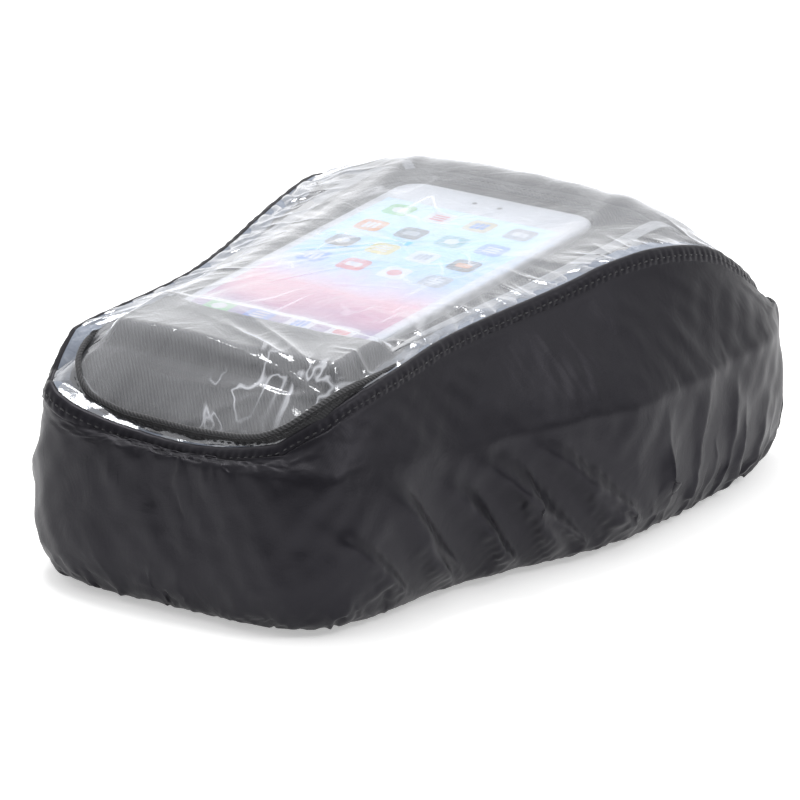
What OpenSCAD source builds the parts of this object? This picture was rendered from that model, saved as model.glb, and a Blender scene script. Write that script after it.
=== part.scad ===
// Small motorcycle tank bag with a phone pocket in its lid, a ring-lock base and a rain cover over it.
// The origin is on the floor under the bag. +Y points to the handlebar, +Z points up.

/* [Bag] */
// Length of the bag at its zip line
bag_l = 234; // [220:2:250]
// Greatest width of the bag at its zip line
bag_w = 168; // [160:2:172]
// Width of the bag at its rider end
nose_w = 118; // [112:2:120]
// Width of the bag at its handlebar end
front_w = 156; // [146:2:160]
// Height of the zip line above the floor
zip_z = 50; // [46:1:54]
// Thickness of the padded side walls
wall = 3; // [2:0.5:4]

/* [Lid] */
// Height of the lid's top in the middle of the bag
lid_z = 86; // [84:1:90]
// Rise of the lid's top for each millimetre towards the handlebar
lid_slope = 0.05; // [0.03:0.01:0.07]
// Height of the padded crest between the pocket and the handlebar end
crest_h = 7; // [4:0.5:8]
// Drop of the lid's top at the rider end
nose_drop = 19; // [15:1:20]
// Drop of the lid's top at the handlebar end
front_drop = 38; // [32:1:40]

/* [Phone pocket] */
// Width of the phone-shaped insert
phone_w = 78; // [67:1:80]
// Length of the phone-shaped insert
phone_l = 158; // [138:1:160]
// Thickness of the phone-shaped insert
phone_t = 7; // [6:0.5:9]
// Width of the clear opening over the insert
view_w = 73; // [60:1:75]
// Length of the clear opening over the insert
view_l = 138; // [120:1:144]

/* [Rain cover] */
// Air between the bag's zip line and the cover's inside
cover_gap = 6; // [5:0.5:8]
// Thickness of the cover's solid
skin = 1; // [0.8:0.1:1.4]
// Height of the hem above the floor
hem_z = 2; // [1:0.5:6]

/* [Ring lock] */
// Radius of the socket that takes the tank ring
socket_r = 32; // [28:1:35]
// Travel of the latch
latch_travel = 5; // [3:0.5:6]

/* [Hidden] */
round_fn = 64;
outline_fn = 64;
eps = 0.3;

// Middle of the bag's length. The origin is at the middle of the cover, which is looser at the rider end
mid_y = 2;
zip_y0 = mid_y - bag_l / 2;
zip_y1 = mid_y + bag_l / 2;

// Outlines are [rear y, front y, half-width at the nose, widest, at the front, swell start, swell end]
// The swell's start and end are shares of the half length, from -1 at the rider end to 1 at the front end
squareness = 5;
zip_line = [zip_y0, zip_y1, nose_w / 2, bag_w / 2, front_w / 2, -0.6, 0.2];
base_line = grown(zip_line, -8);
lid_edge = [zip_y0 + 1, zip_y1 - 10, nose_w / 2 - 8, bag_w / 2 - 10, front_w / 2 - 7, -0.5, 0.75];

// The cover hangs outside the zip line and meets its window along a smaller outline on top
// It is looser at the rider end, where the zip's pullers hang under it
cover_in = grown(zip_line, cover_gap) - [3, 0, 0, 0, 0, 0, 0];
cover_foot = cover_in + [-1, 0, 3, 2, 0, 0, 0];
cover_edge = grown(lid_edge, 4);
film_rise = 3.4;
cover_film_t = 0.6;

// Heights through the base, from the floor up
pad_t = 10;
board_t = 2.5;
plate_t = 1.5;
board_z = pad_t;
plate_z = board_z + board_t;
wall_z = board_z;

// The pocket's parts follow the lid's slope
pocket_y = 1;
phone_y = pocket_y - 13;
pocket_tilt = atan(lid_slope);
panel_t = 1.6;
foam_t = 13;
liner_t = 1.2;
film_t = 0.5;

// Ring lock on the base
ring_y = 13;
ring_r = socket_r + 13;
screw_pcd_r = socket_r + 6.5;
screw_r = 2;
latch_w = 18;
strap_w = 15;

slider_x = 14;
slider_y = zip_y0 - 1.2;
puller_l = 22;
tape_h = 7;
coil_h = 1.6;

function grown(o, d) = o + d * [-1, 1, 1, 1, 1, 0, 0];

function ease(t) = let (u = min(1, max(0, t))) u * u * (3 - 2 * u);

// Half-width at s, which runs from -1 at the rider end to 1 at the handlebar end
function half_width(o, s) =
  s < o[6]
  ? o[2] + (o[3] - o[2]) * ease((s - o[5]) / (o[6] - o[5]))
  : o[3] + (o[4] - o[3]) * pow((s - o[6]) / (1 - o[6]), 2);

function edge_point(o, i) =
  let (
    a = 360 * i / outline_fn,
    reach = pow(pow(abs(cos(a)), squareness) + pow(abs(sin(a)), squareness), -1 / squareness),
    s = reach * sin(a)
  )
  [reach * cos(a) * half_width(o, s), (o[0] + o[1]) / 2 + s * (o[1] - o[0]) / 2];

function outline(o) = [for (i = [0 : outline_fn - 1]) edge_point(o, i)];

// Height of the lid's top surface over any point of the plan
crest_y = 80;
crest_reach = 15;
crest_half = 95;
side_drop = 5.5;
shoulder_y = 40;
shoulder_reach = 30;
shoulder_hold = 0.7;
nose_from = -88;
nose_corner = 62;
front_from = 55;
function top_z(p) =
  lid_z + lid_slope * p[1]
  + crest_h * exp(-pow((p[1] - crest_y) / crest_reach, 2)) * (1 - pow(p[0] / crest_half, 2))
  - nose_drop * pow(ramp(p[1], nose_from, zip_y0), 2) * (1 - pow(p[0] / nose_corner, 2))
  - front_drop * pow(ramp(p[1], front_from, zip_y1), 2)
  - side_drop * pow(abs(p[0]) / 70, 3) * (1 - shoulder_share(p[1]));

// Share of the side's fall that the firm shoulder beside the pocket's far end takes back
function shoulder_share(y) = shoulder_hold * exp(-pow((y - shoulder_y) / shoulder_reach, 2));

function ramp(y, from, to) = min(1, max(0, (y - from) / (to - from)));

function lifted(p, z, on_top) = [p[0], p[1], on_top ? top_z(p) + z : z];

// A closed ring of cloth, foam or tape. Every profile row is [outline, height, flag]
// and flag 1 measures the height from the lid's top
module ring_band(profile) {
  n = len(profile);
  points = [
    for (i = [0 : outline_fn - 1]) for (row = profile) lifted(edge_point(row[0], i), row[1], row[2] == 1)
  ];
  sides = [
    for (i = [0 : outline_fn - 1]) for (j = [0 : n - 1])
      let (a = i * n + j, b = i * n + (j + 1) % n, k = ((i + 1) % outline_fn) * n)
      each [[a, b, k + j], [b, k + (j + 1) % n, k + j]]
  ];
  polyhedron(points, sides);
}

// A sheet that follows the lid's top between the offsets low and high
module top_sheet(o, low, high) {
  steps = [1, 0.95, 0.9, 0.84, 0.78, 0.72, 0.66, 0.56, 0.42, 0.22];
  m = len(steps);
  centre = [0, (o[0] + o[1]) / 2];
  layer = function (z) [
    for (q = steps) for (i = [0 : outline_fn - 1])
      lifted(centre + q * (edge_point(o, i) - centre), z, true)
  ];
  count = m * outline_fn;
  points = [each layer(high), each layer(low), lifted(centre, high, true), lifted(centre, low, true)];
  next = function (i) (i + 1) % outline_fn;
  faces = [
    for (k = [0 : m - 2]) for (i = [0 : outline_fn - 1])
      let (a = k * outline_fn + i, b = k * outline_fn + next(i), c = a + outline_fn, d = b + outline_fn)
      each [[a, c, b], [b, c, d], [count + a, count + b, count + c], [count + b, count + d, count + c]],
    for (i = [0 : outline_fn - 1])
      let (a = (m - 1) * outline_fn + i, b = (m - 1) * outline_fn + next(i))
      each [[a, 2 * count, b], [count + a, count + b, 2 * count + 1]],
    for (i = [0 : outline_fn - 1])
      each [[i, next(i), count + i], [next(i), count + next(i), count + i]]
  ];
  polyhedron(points, faces);
}

// A flat strip over the lid's top along a line of plan points
module top_strip(line, width, low, high) {
  rows = [
    for (i = [0 : len(line) - 1])
      let (
        p = line[i],
        d = line[min(i + 1, len(line) - 1)] - line[max(i - 1, 0)],
        side = [-d[1], d[0]] / norm(d) * width / 2
      )
      [
        lifted(p - side, low, true), lifted(p + side, low, true),
        lifted(p + side, high, true), lifted(p - side, high, true)
      ]
  ];
  last = 4 * (len(line) - 1);
  faces = [
    for (i = [0 : len(line) - 2]) for (j = [0 : 3])
      let (a = 4 * i + j, b = 4 * i + (j + 1) % 4)
      each [[a, a + 4, b], [b, a + 4, b + 4]],
    [0, 1, 2], [0, 2, 3],
    [last, last + 2, last + 1], [last, last + 3, last + 2]
  ];
  polyhedron([for (r = rows) each r], faces);
}

module rounded_plate(w, l, t, r) {
  linear_extrude(t)
    hull()
      for (x = [-1, 1]) for (y = [-1, 1])
        translate([x * (w / 2 - r), y * (l / 2 - r)])
          circle(r, $fn = 32);
}

module on_pocket(y, z) {
  translate([0, y, lid_z + lid_slope * y + z])
    rotate([pocket_tilt, 0, 0])
      children();
}

// Anti-slip foam pad with a well for the ring lock and a channel for the release strap
module base_pad() {
  color("#232326")
    difference() {
      linear_extrude(pad_t) polygon(outline(grown(base_line, -3)));
      translate([0, ring_y, -1]) cylinder(r = ring_r + 3, h = pad_t + 2, $fn = round_fn);
      translate([-strap_w / 2 - 2, zip_y0 - 1, -1]) cube([strap_w + 4, ring_y - zip_y0, pad_t + 2]);
    }
}

module base_board() {
  color("#1b1b1d")
    translate([0, 0, board_z])
      difference() {
        linear_extrude(board_t) polygon(outline(grown(base_line, -wall - eps)));
        screw_holes(board_t + 2);
      }
}

module screw_holes(h) {
  for (a = [45 : 90 : 315])
    translate([screw_pcd_r * cos(a), ring_y + screw_pcd_r * sin(a), -1])
      cylinder(r = screw_r + 0.2, h = h, $fn = 32);
}

module backing_plate() {
  color("#8d8f92")
    translate([0, 0, plate_z])
      difference() {
        translate([0, ring_y, 0]) cylinder(r = ring_r, h = plate_t, $fn = round_fn);
        translate([0, ring_y, -1]) cylinder(r = socket_r, h = plate_t + 2, $fn = round_fn);
        screw_holes(plate_t + 2);
      }
}

// Underside half of the tank-ring lock, open towards the floor, with a guide slot for the latch
adapter_z = 1;
adapter_roof = 2;
lead_depth = 2.4;
lead_r = socket_r + 1;
module ring_adapter() {
  color("#17171a")
    difference() {
      translate([0, ring_y, adapter_z]) cylinder(r = ring_r, h = pad_t - adapter_z, $fn = round_fn);
      translate([0, ring_y, adapter_z - 1])
        cylinder(r = socket_r, h = pad_t - adapter_z - adapter_roof + 1, $fn = round_fn);
      translate([0, ring_y, adapter_z - 1]) cylinder(r = lead_r, h = lead_depth + 1, $fn = round_fn);
      translate([-latch_w / 2 - eps, ring_y - ring_r - 1, latch_z - eps])
        cube([latch_w + 2 * eps, ring_r - socket_r + latch_travel + 3, latch_t + 2 * eps]);
      screw_holes(pad_t + 2);
      for (a = [45 : 90 : 315])
        translate([screw_pcd_r * cos(a), ring_y + screw_pcd_r * sin(a), adapter_z - 1])
          cylinder(r = screw_head_r + eps, h = 1 + screw_head_h + eps, $fn = 32);
    }
}

screw_head_r = 3.6;
screw_head_h = 2.4;
module ring_screws() {
  color("#b9bbbf")
    for (a = [45 : 90 : 315])
      translate([screw_pcd_r * cos(a), ring_y + screw_pcd_r * sin(a), adapter_z]) {
        difference() {
          cylinder(r = screw_head_r, h = screw_head_h, $fn = 32);
          translate([0, 0, -1]) cylinder(r = 1.4, h = 2.4, $fn = 6);
        }
        cylinder(r = screw_r, h = plate_z + plate_t + 1.5 - adapter_z, $fn = 32);
        translate([0, 0, plate_z + plate_t - adapter_z]) nut();
      }
}

module nut() {
  cylinder(r = 3.5, h = 2, $fn = 6);
}

// Sliding tongue that catches the tank ring, with the eye that the strap is sewn through
latch_z = 4;
latch_t = 3.2;
latch_reach = 3;
latch_tail_y = ring_y - ring_r - 9;
module ring_latch() {
  tongue_y = ring_y - socket_r + latch_reach;
  color("#3a3a3e")
    difference() {
      translate([-latch_w / 2, latch_tail_y, latch_z]) cube([latch_w, tongue_y - latch_tail_y, latch_t]);
      translate([-strap_w / 2 - 0.5, latch_tail_y + 2, latch_z - 1]) cube([strap_w + 1, 2.4, latch_t + 2]);
    }
}

// Webbing pull that reaches from the latch to the rider end
strap_t = 1.6;
strap_end = zip_y0 + 6;
strap_tail = 12;
module release_strap() {
  eye_y = latch_tail_y + 2.4;
  low = latch_z - strap_t - 0.2;
  top = latch_z + latch_t + 0.2;
  color("#202024") {
    translate([-strap_w / 2, strap_end, low]) cube([strap_w, eye_y + strap_t - strap_end, strap_t]);
    translate([-strap_w / 2, eye_y, low]) cube([strap_w, strap_t, top + strap_t - low]);
    translate([-strap_w / 2, eye_y - strap_tail, top]) cube([strap_w, strap_tail + strap_t, strap_t]);
  }
}

// Lower half of the bag, from the base up to the zip
module tray_wall() {
  color("#202022")
    difference() {
      ring_band([
        [base_line, wall_z], [grown(zip_line, -1), 34], [zip_line, zip_z - 1.2],
        [grown(zip_line, -wall), zip_z - 1.2], [grown(zip_line, -1 - wall), 34],
        [grown(base_line, -wall), wall_z]
      ]);
      cable_hole(5);
    }
}

// Way through the handlebar-end wall for the charging cable
grommet_z = 26;
grommet_y = zip_y1 - 10;
grommet_l = 8.4;
module cable_hole(r) {
  translate([0, grommet_y - 6, grommet_z]) rotate([-90, 0, 0]) cylinder(r = r, h = 24, $fn = 48);
}

lining_t = 1;
module tray_lining() {
  floor_z = plate_z + plate_t + 4;
  inner = grown(zip_line, -wall - eps);
  foot = grown(base_line, -wall - eps);
  color("#5c5f66")
    difference() {
      union() {
        ring_band([
          [grown(foot, 1), floor_z], [grown(inner, -1), 34], [inner, zip_z - 1.5],
          [grown(inner, -lining_t), zip_z - 1.5], [grown(inner, -1 - lining_t), 34],
          [grown(foot, -lining_t), floor_z]
        ]);
        translate([0, 0, floor_z]) linear_extrude(lining_t) polygon(outline(foot));
      }
      cable_hole(5.3);
    }
}

// Cloth tapes of the zip and the two rows of its coil.
// The upper tape leans in with the lid at the handlebar end
level = [0, 0, 0, 0, 0, 0, 0];
module zip_tape(low, high, lean) {
  inner = grown(zip_line, eps);
  outer = grown(zip_line, eps + 0.6);
  ring_band([[inner, low], [outer, low], [outer + lean, high], [inner + lean, high]]);
}

module zip_tape_lower() {
  color("#141416") zip_tape(zip_z - 1.2 - tape_h, zip_z - 1.2, level);
}

module zip_tape_upper() {
  lean = level - [0, tape_h * 0.4, 0, 0, 0, 0, 0];
  color("#141416") zip_tape(zip_z + 1.2, zip_z + 1.2 + tape_h / 2, lean);
}

module zip_coil(low) {
  ring_band([
    [grown(zip_line, -0.6), low], [grown(zip_line, 1.4), low],
    [grown(zip_line, 1.4), low + coil_h / 2], [grown(zip_line, -0.6), low + coil_h / 2]
  ]);
}

module zip_coil_lower() {
  color("#0e0e10") zip_coil(zip_z - coil_h / 2 - 0.2);
}

module zip_coil_upper() {
  color("#0e0e10") zip_coil(zip_z + 0.2);
}

// Two sliders meet at the rider end, each with a puller on a bail
module zip_slider(x) {
  color("#2b2c30")
    translate([x, slider_y, zip_z]) {
      translate([-4, -2.2, 0.4]) cube([8, 1.4, 4.2]);
      translate([-4, -2.2, -4.6]) cube([8, 1.4, 4.2]);
      translate([-1.2, -2.2, -0.4]) cube([2.4, 1.2, 0.8]);
      for (z = [-2.4, 2.4])
        translate([-1, -3.4, z - 0.6]) cube([2, 1.3, 1.2]);
    }
}

module zip_slider_left() {
  zip_slider(-slider_x);
}

module zip_slider_right() {
  zip_slider(slider_x);
}

puller_y = slider_y - 4.1;
module zip_puller(x) {
  color("#303136")
    translate([x, puller_y, zip_z]) {
      rotate([0, 90, 0]) translate([0, 0, -3]) cylinder(r = 0.6, h = 6, $fn = 24);
      for (side = [-3.2, 2])
        translate([side, -0.6, -8]) cube([1.2, 1.2, 8]);
      translate([-3.6, -0.6, -puller_l]) cube([7.2, 1.2, puller_l - 7]);
    }
}

module zip_puller_left() {
  zip_puller(-slider_x);
}

module zip_puller_right() {
  zip_puller(slider_x);
}

// Webbing handle folded flat against the handlebar end
handle_z = 30;
handle_w = 76;
handle_t = 1.5;
module carry_handle() {
  y = zip_y1 - 0.6;
  color("#1c1c20") {
    for (side = [-1, 1])
      translate([side * (handle_w / 2 - 8) - 8, y, handle_z - 8]) cube([16, handle_t, 18]);
    translate([-handle_w / 2, y + handle_t, handle_z - 2]) cube([handle_w, handle_t, 12]);
  }
}

// Rubber ring in the handlebar-end wall, where a charging cable goes in
flange_t = 1.4;
cable_r = 3.2;
module cable_grommet() {
  color("#101012")
    translate([0, grommet_y, grommet_z])
      rotate([-90, 0, 0])
        difference() {
          union() {
            cylinder(r = 4.9, h = grommet_l, $fn = 48);
            translate([0, 0, grommet_l - flange_t]) cylinder(r = 7.2, h = flange_t, $fn = 48);
          }
          translate([0, 0, -1]) cylinder(r = cable_r, h = grommet_l + 2, $fn = 48);
        }
}

// Upper half of the bag, from the zip up to the top panel
module lid_wall() {
  low = zip_z + 1.2;
  color("#26262a")
    ring_band([
      [zip_line, low], [lid_edge, -panel_t - 0.4, 1],
      [grown(lid_edge, -wall), -panel_t - 0.4, 1], [grown(zip_line, -wall), low]
    ]);
}

module lid_top_panel() {
  color("#2c2c30")
    difference() {
      top_sheet(lid_edge, -panel_t, 0);
      on_pocket(pocket_y, -4) rounded_plate(view_w, view_l, 8, 9);
    }
}

lid_inner = grown(lid_edge, -wall - 0.6) + [9, -2, 0, 0, 0, 0, 0];
module lid_foam() {
  color("#4a4b50")
    difference() {
      top_sheet(lid_inner, -panel_t - foam_t, -panel_t - 0.7);
      on_pocket(phone_y, -panel_t - foam_t - 6) rounded_plate(phone_w + 3, phone_l + 3, foam_t + 12, 9);
      on_pocket(pocket_y, film_z - 0.5) rounded_plate(view_w + 10, view_l + 8, foam_t, 11);
    }
}

module lid_liner() {
  color("#5c5f66") top_sheet(lid_inner, -panel_t - foam_t - 0.2 - liner_t, -panel_t - foam_t - 0.2);
}

film_z = -panel_t - film_t - 1.6;
insert_z = film_z - 0.6 - phone_t;
module pocket_window() {
  color("#dfe6ea") on_pocket(pocket_y, film_z) rounded_plate(view_w + 8, view_l + 6, film_t, 11);
}

module phone_insert() {
  color("#f3f3f4")
    on_pocket(phone_y, insert_z)
      difference() {
        rounded_plate(phone_w, phone_l, phone_t, 10);
        translate([0, 0, phone_t - screen_t - 0.1]) rounded_plate(screen_w + 0.2, screen_l + 0.2, 2, 0.6);
      }
}

screen_w = phone_w * 0.88;
screen_l = phone_l * 0.77;
screen_t = 0.5;
module phone_screen() {
  color("#9cc4e4")
    on_pocket(phone_y, insert_z)
      translate([0, 0, phone_t - screen_t]) rounded_plate(screen_w, screen_l, screen_t - 0.05, 0.5);
}

// Cloth strip sewn to the tray at the handlebar end, where the lid hinges
hinge_w = 60;
module hinge_binding() {
  color("#141416")
    translate([-hinge_w / 2, zip_y1 + 1.6, zip_z - 5.4]) cube([hinge_w, 0.8, 5]);
}

// Pale trim beside the pocket, with a leg that runs out to the lid's edge
trim_w = 4;
trim_from = -67;
trim_to = 97;
trim_steps = 16;
leg_y = 57;
function trim_x(y) = 45 + 10 * ease((y - trim_from) / (leg_y - trim_from));
module trim(side) {
  line = [
    for (i = [0 : trim_steps])
      let (y = trim_from + (trim_to - trim_from) * i / trim_steps) [side * trim_x(y), y]
  ];
  leg = [for (i = [0 : 4]) [side * (trim_x(leg_y) + 2.4 * i), leg_y - 1.6 * i]];
  color("#c9cbcd") {
    top_strip(line, trim_w, 0.6, 1.1);
    top_strip(leg, trim_w, 0.65, 1.05);
  }
}

module trim_left() {
  trim(-1);
}

module trim_right() {
  trim(1);
}

// Rain cover: a skirt with an elastic hem, and a clear window sewn into its stitched top edge
module cover_skirt() {
  out = skin;
  color("#2e2d33")
    ring_band([
      [grown(cover_foot, out), hem_z], [grown(cover_foot, out), 20], [grown(cover_in, out), zip_z],
      [grown(cover_edge, out), -1, 1],
      [cover_edge, -1, 1], [cover_in, zip_z], [cover_foot, 20], [cover_foot, hem_z]
    ]);
}

module cover_edge_hem() {
  color("#28272d")
    ring_band([
      [grown(cover_edge, 0.2), -0.7, 1], [grown(cover_edge, skin + 0.4), -0.7, 1],
      [grown(cover_edge, skin), 1.4, 1], [grown(cover_edge, -1.6), film_rise + 0.4, 1],
      [grown(cover_edge, -1.6), film_rise - 0.3, 1], [grown(cover_edge, 0.2), 1, 1]
    ]);
}

module cover_window() {
  low = film_rise - 1.4;
  color("#e6ebee") top_sheet(grown(cover_edge, -1.2), low, low + cover_film_t);
}

module cover_seam_tape() {
  tape = 6;
  tape_t = 0.5;
  low = film_rise;
  color("#98a0b0")
    ring_band([
      [grown(cover_edge, -1.8), low, 1], [grown(cover_edge, -1.8), low + tape_t, 1],
      [grown(cover_edge, -1.8 - tape), low + tape_t, 1], [grown(cover_edge, -1.8 - tape), low, 1]
    ]);
}

module cover_hem_elastic() {
  elastic = 4;
  color("#1d1c21")
    ring_band([
      [grown(cover_foot, -0.2), hem_z + 0.4], [grown(cover_foot, -0.2), hem_z + elastic],
      [grown(cover_foot, -1.6), hem_z + elastic], [grown(cover_foot, -1.6), hem_z + 0.4]
    ]);
}

base_pad();
base_board();
backing_plate();
ring_adapter();
ring_screws();
ring_latch();
release_strap();
tray_wall();
tray_lining();
zip_tape_lower();
zip_coil_lower();
carry_handle();
cable_grommet();
lid_wall();
lid_top_panel();
lid_foam();
lid_liner();
zip_tape_upper();
zip_coil_upper();
zip_slider_left();
zip_slider_right();
zip_puller_left();
zip_puller_right();
hinge_binding();
pocket_window();
phone_insert();
phone_screen();
trim_left();
trim_right();
cover_skirt();
cover_edge_hem();
cover_window();
cover_seam_tape();
cover_hem_elastic();
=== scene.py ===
"""Looks for the tank bag: its rain cover with a clear window, the lid, the phone pocket and the bag."""

import math

import bmesh
import bpy
import numpy as np
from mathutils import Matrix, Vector


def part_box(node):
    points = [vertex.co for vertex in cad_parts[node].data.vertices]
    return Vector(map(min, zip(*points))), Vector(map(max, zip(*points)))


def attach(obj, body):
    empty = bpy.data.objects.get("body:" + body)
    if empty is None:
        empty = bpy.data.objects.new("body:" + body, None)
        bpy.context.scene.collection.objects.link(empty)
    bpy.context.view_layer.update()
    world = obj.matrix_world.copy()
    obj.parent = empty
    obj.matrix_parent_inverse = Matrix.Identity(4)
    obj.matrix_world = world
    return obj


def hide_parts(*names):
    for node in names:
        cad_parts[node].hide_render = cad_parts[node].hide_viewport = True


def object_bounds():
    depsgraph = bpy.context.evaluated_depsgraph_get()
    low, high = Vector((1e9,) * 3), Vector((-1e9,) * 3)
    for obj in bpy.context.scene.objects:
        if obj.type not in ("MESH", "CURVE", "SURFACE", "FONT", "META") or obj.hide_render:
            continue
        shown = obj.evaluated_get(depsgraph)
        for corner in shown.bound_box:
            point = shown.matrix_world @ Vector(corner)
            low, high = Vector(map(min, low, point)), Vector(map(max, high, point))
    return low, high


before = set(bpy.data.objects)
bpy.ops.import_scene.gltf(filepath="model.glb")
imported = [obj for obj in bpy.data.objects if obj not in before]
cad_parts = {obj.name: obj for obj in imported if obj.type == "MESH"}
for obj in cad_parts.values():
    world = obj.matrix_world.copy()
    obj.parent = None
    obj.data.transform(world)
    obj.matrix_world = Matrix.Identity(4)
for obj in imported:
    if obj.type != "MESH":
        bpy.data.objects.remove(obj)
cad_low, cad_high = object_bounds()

MM = 0.001
TAU = 2 * math.pi
UP = np.array([0, 0, 1.0])
SIDES = ((-1, "left"), (1, "right"))
BLEND = 0.4 * MM  # how softly a surface is kept above another
TO_MIDDLE = 0.985  # how far the rings of a closed sheet run in to its middle
random = np.random.default_rng(7)


# ---------------------------------------------------------------- shape of the bag, taken from the frame


class Outline:
    """A closed plan line: narrow at the rider end (low y), widest past the middle, then a little narrower."""

    SQUARE = 5

    def __init__(self, y0, y1, nose, wide, front, swell, pulls=()):
        self.values = (y0, y1, nose, wide, front)
        self.swell = swell
        self.pulls = pulls

    def grown(self, d):
        return self.moved(d, d, d)

    def moved(self, d0, d1, dx):
        """The same line with its rider end out by d0, its front end out by d1 and its sides out by dx."""
        y0, y1, nose, wide, front = self.values
        return Outline(y0 - d0, y1 + d1, nose + dx, wide + dx, front + dx, self.swell, self.pulls)

    def pulled(self, *pulls):
        """The same line with places drawn out: (angle, x, y, width of the place in radians)."""
        return Outline(*self.values, self.swell, pulls)

    def at(self, angle):
        y0, y1, nose, wide, front = self.values
        swell_from, widest_at = self.swell
        c, s = np.cos(angle), np.sin(angle)
        reach = (np.abs(c) ** self.SQUARE + np.abs(s) ** self.SQUARE) ** (-1 / self.SQUARE)
        t = reach * s
        behind = nose + (wide - nose) * smooth(t, swell_from, widest_at)
        ahead = wide + (front - wide) * (np.maximum(t - widest_at, 0) / (1 - widest_at)) ** 2
        half = np.where(t < widest_at, behind, ahead)
        points = np.stack([reach * c * half, (y0 + y1) / 2 + t * (y1 - y0) / 2], -1)
        for where, dx, dy, width in self.pulls:
            near = bell((angle - where + math.pi) % TAU - math.pi, width)
            points = points + near[..., None] * np.array([dx, dy]) * MM
        return points


def outline_of(node, shares, swell, grow=0.0):
    """The plan line that a CAD node's box and the shape's end shares give."""
    low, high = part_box(node)
    wide = high.x - grow
    return Outline(low.y + grow, high.y - grow, shares[0] * wide, wide, shares[1] * wide, swell)


def smooth(t, a=0.0, b=1.0):
    u = np.clip((t - a) / (b - a), 0, 1)
    return u * u * (3 - 2 * u)


def bell(d, w):
    return np.exp(-((d / w) ** 2))


BAG_SWELL, LID_SWELL = (-0.6, 0.2), (-0.5, 0.75)
RIDER_LEFT, RIDER_RIGHT, FRONT_RIGHT, FRONT_LEFT = 3.93, 5.49, 0.8, 2.34
zip_line = outline_of("tray_wall", (59 / 84, 78 / 84), BAG_SWELL)
lid_edge = outline_of("lid_top_panel", (51 / 74, 71 / 74), LID_SWELL)
lid_edge = lid_edge.pulled((RIDER_LEFT, -5.5, -6, 0.3), (RIDER_RIGHT, 1.5, -3, 0.3))
cover_edge = outline_of("cover_window", (53.8 / 76.8, 73.8 / 76.8), LID_SWELL).grown(1.2 * MM)
cover_edge = cover_edge.pulled(
    (RIDER_LEFT, -9, -9.5, 0.3), (FRONT_RIGHT, 6.5, 11, 0.28), (FRONT_LEFT, -6.5, 11, 0.28))
cover_in = outline_of("cover_skirt", (65 / 90, 84 / 90), BAG_SWELL, 3 * MM).moved(1 * MM, 2 * MM, 0)
cover_in = cover_in.pulled(
    (RIDER_LEFT, -3, -2, 0.4), (FRONT_RIGHT, 3, 4.5, 0.35), (FRONT_LEFT, -3, 4.5, 0.35))
base_line = zip_line.grown(-8 * MM)
pocket_middle = sum(corner.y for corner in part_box("pocket_window")) / 2

zip_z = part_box("lid_wall")[0].z - 1.2 * MM
lid_z = 86 * MM
lid_slope = 0.05
crest = dict(h=7 * MM, y=80 * MM, reach=15 * MM, half=95 * MM)
shoulder = dict(y=40 * MM, reach=30 * MM)
nose_drop, nose_from, nose_corner = 19 * MM, -88 * MM, 62 * MM
front_drop, front_from = 38 * MM, 55 * MM
side_drop, side_half = 5.5 * MM, 70 * MM


def ramp(y, start, end):
    return np.clip((y - start) / (end - start), 0, 1)


def top_z(x, y):
    """Height of the lid's top, as in the CAD."""
    z = lid_z + lid_slope * y
    z = z + crest["h"] * bell(y - crest["y"], crest["reach"]) * (1 - (x / crest["half"]) ** 2)
    z = z - nose_drop * ramp(y, nose_from, zip_line.values[0]) ** 2 * (1 - (x / nose_corner) ** 2)
    z = z - front_drop * ramp(y, front_from, zip_line.values[1]) ** 2
    held_up = 0.7 * bell(y - shoulder["y"], shoulder["reach"])
    return z - side_drop * (np.abs(x) / side_half) ** 3 * (1 - held_up)


# (y, height over the lid's edge) of the cover's seam in millimetres: the cloth cover sits a little askew
SEAM_RIGHT = [
    (-118, -3.9), (-104, -6), (-82, -2.6), (-52, 0.7), (-5, 3.2),
    (22, 4.8), (45, 4), (65, 2.3), (84, 0.5), (113, 2),
]
SEAM_LEFT = [
    (-118, -5), (-113, -8.5), (-109, -8), (-105, -5.5), (-96, 0.2), (-84, 0.4),
    (-35, 0), (10, 1), (40, -0.8), (60, 0.2), (113, 0),
]


def seam_rise(x, y):
    right = np.interp(y / MM, *zip(*SEAM_RIGHT)) * MM
    left = np.interp(y / MM, *zip(*SEAM_LEFT)) * MM
    return left + (right - left) * smooth(x, -45 * MM, 45 * MM)


def run_along(line):
    """How far each point of a line is from its start."""
    return np.concatenate([[0], np.cumsum(np.linalg.norm(np.diff(line, axis=0), axis=-1))])


def even_angles(outline, n):
    """n angles whose points are evenly spaced along the outline, and the outline's length."""
    a = np.linspace(0, TAU, 8001)
    run = run_along(outline.at(a))
    return np.interp(np.arange(n) / n * run[-1], run, a), run[-1]


def ripples(u, v, length, seed, count=8, low=4, high=14, slant=1.0):
    """Smooth noise from about -1 to 1 that repeats after length along u."""
    r = np.random.default_rng(seed)
    total = np.zeros(np.broadcast(u, v).shape)
    for _ in range(count):
        k = r.integers(low, high + 1)
        lean, phase = r.uniform(-slant, slant), r.uniform(0, TAU)
        total = total + np.sin(TAU * k * u / length + lean * k * v * TAU / length + phase)
    return total / math.sqrt(count)


# ---------------------------------------------------------------- meshes


def mesh(name, points, faces, uv=None, smooth_shade=True):
    data = bpy.data.meshes.new(name)
    data.from_pydata([tuple(p) for p in points], [], [tuple(int(i) for i in f) for f in faces])
    if uv is not None:
        layer = data.uv_layers.new(name="UVMap")
        index = np.empty(len(data.loops), np.int32)
        data.loops.foreach_get("vertex_index", index)
        layer.data.foreach_set("uv", np.asarray(uv, np.float32)[index].ravel())
    data.update()
    if smooth_shade:
        data.shade_smooth()
    obj = bpy.data.objects.new(name, data)
    bpy.context.scene.collection.objects.link(obj)
    return obj


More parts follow.
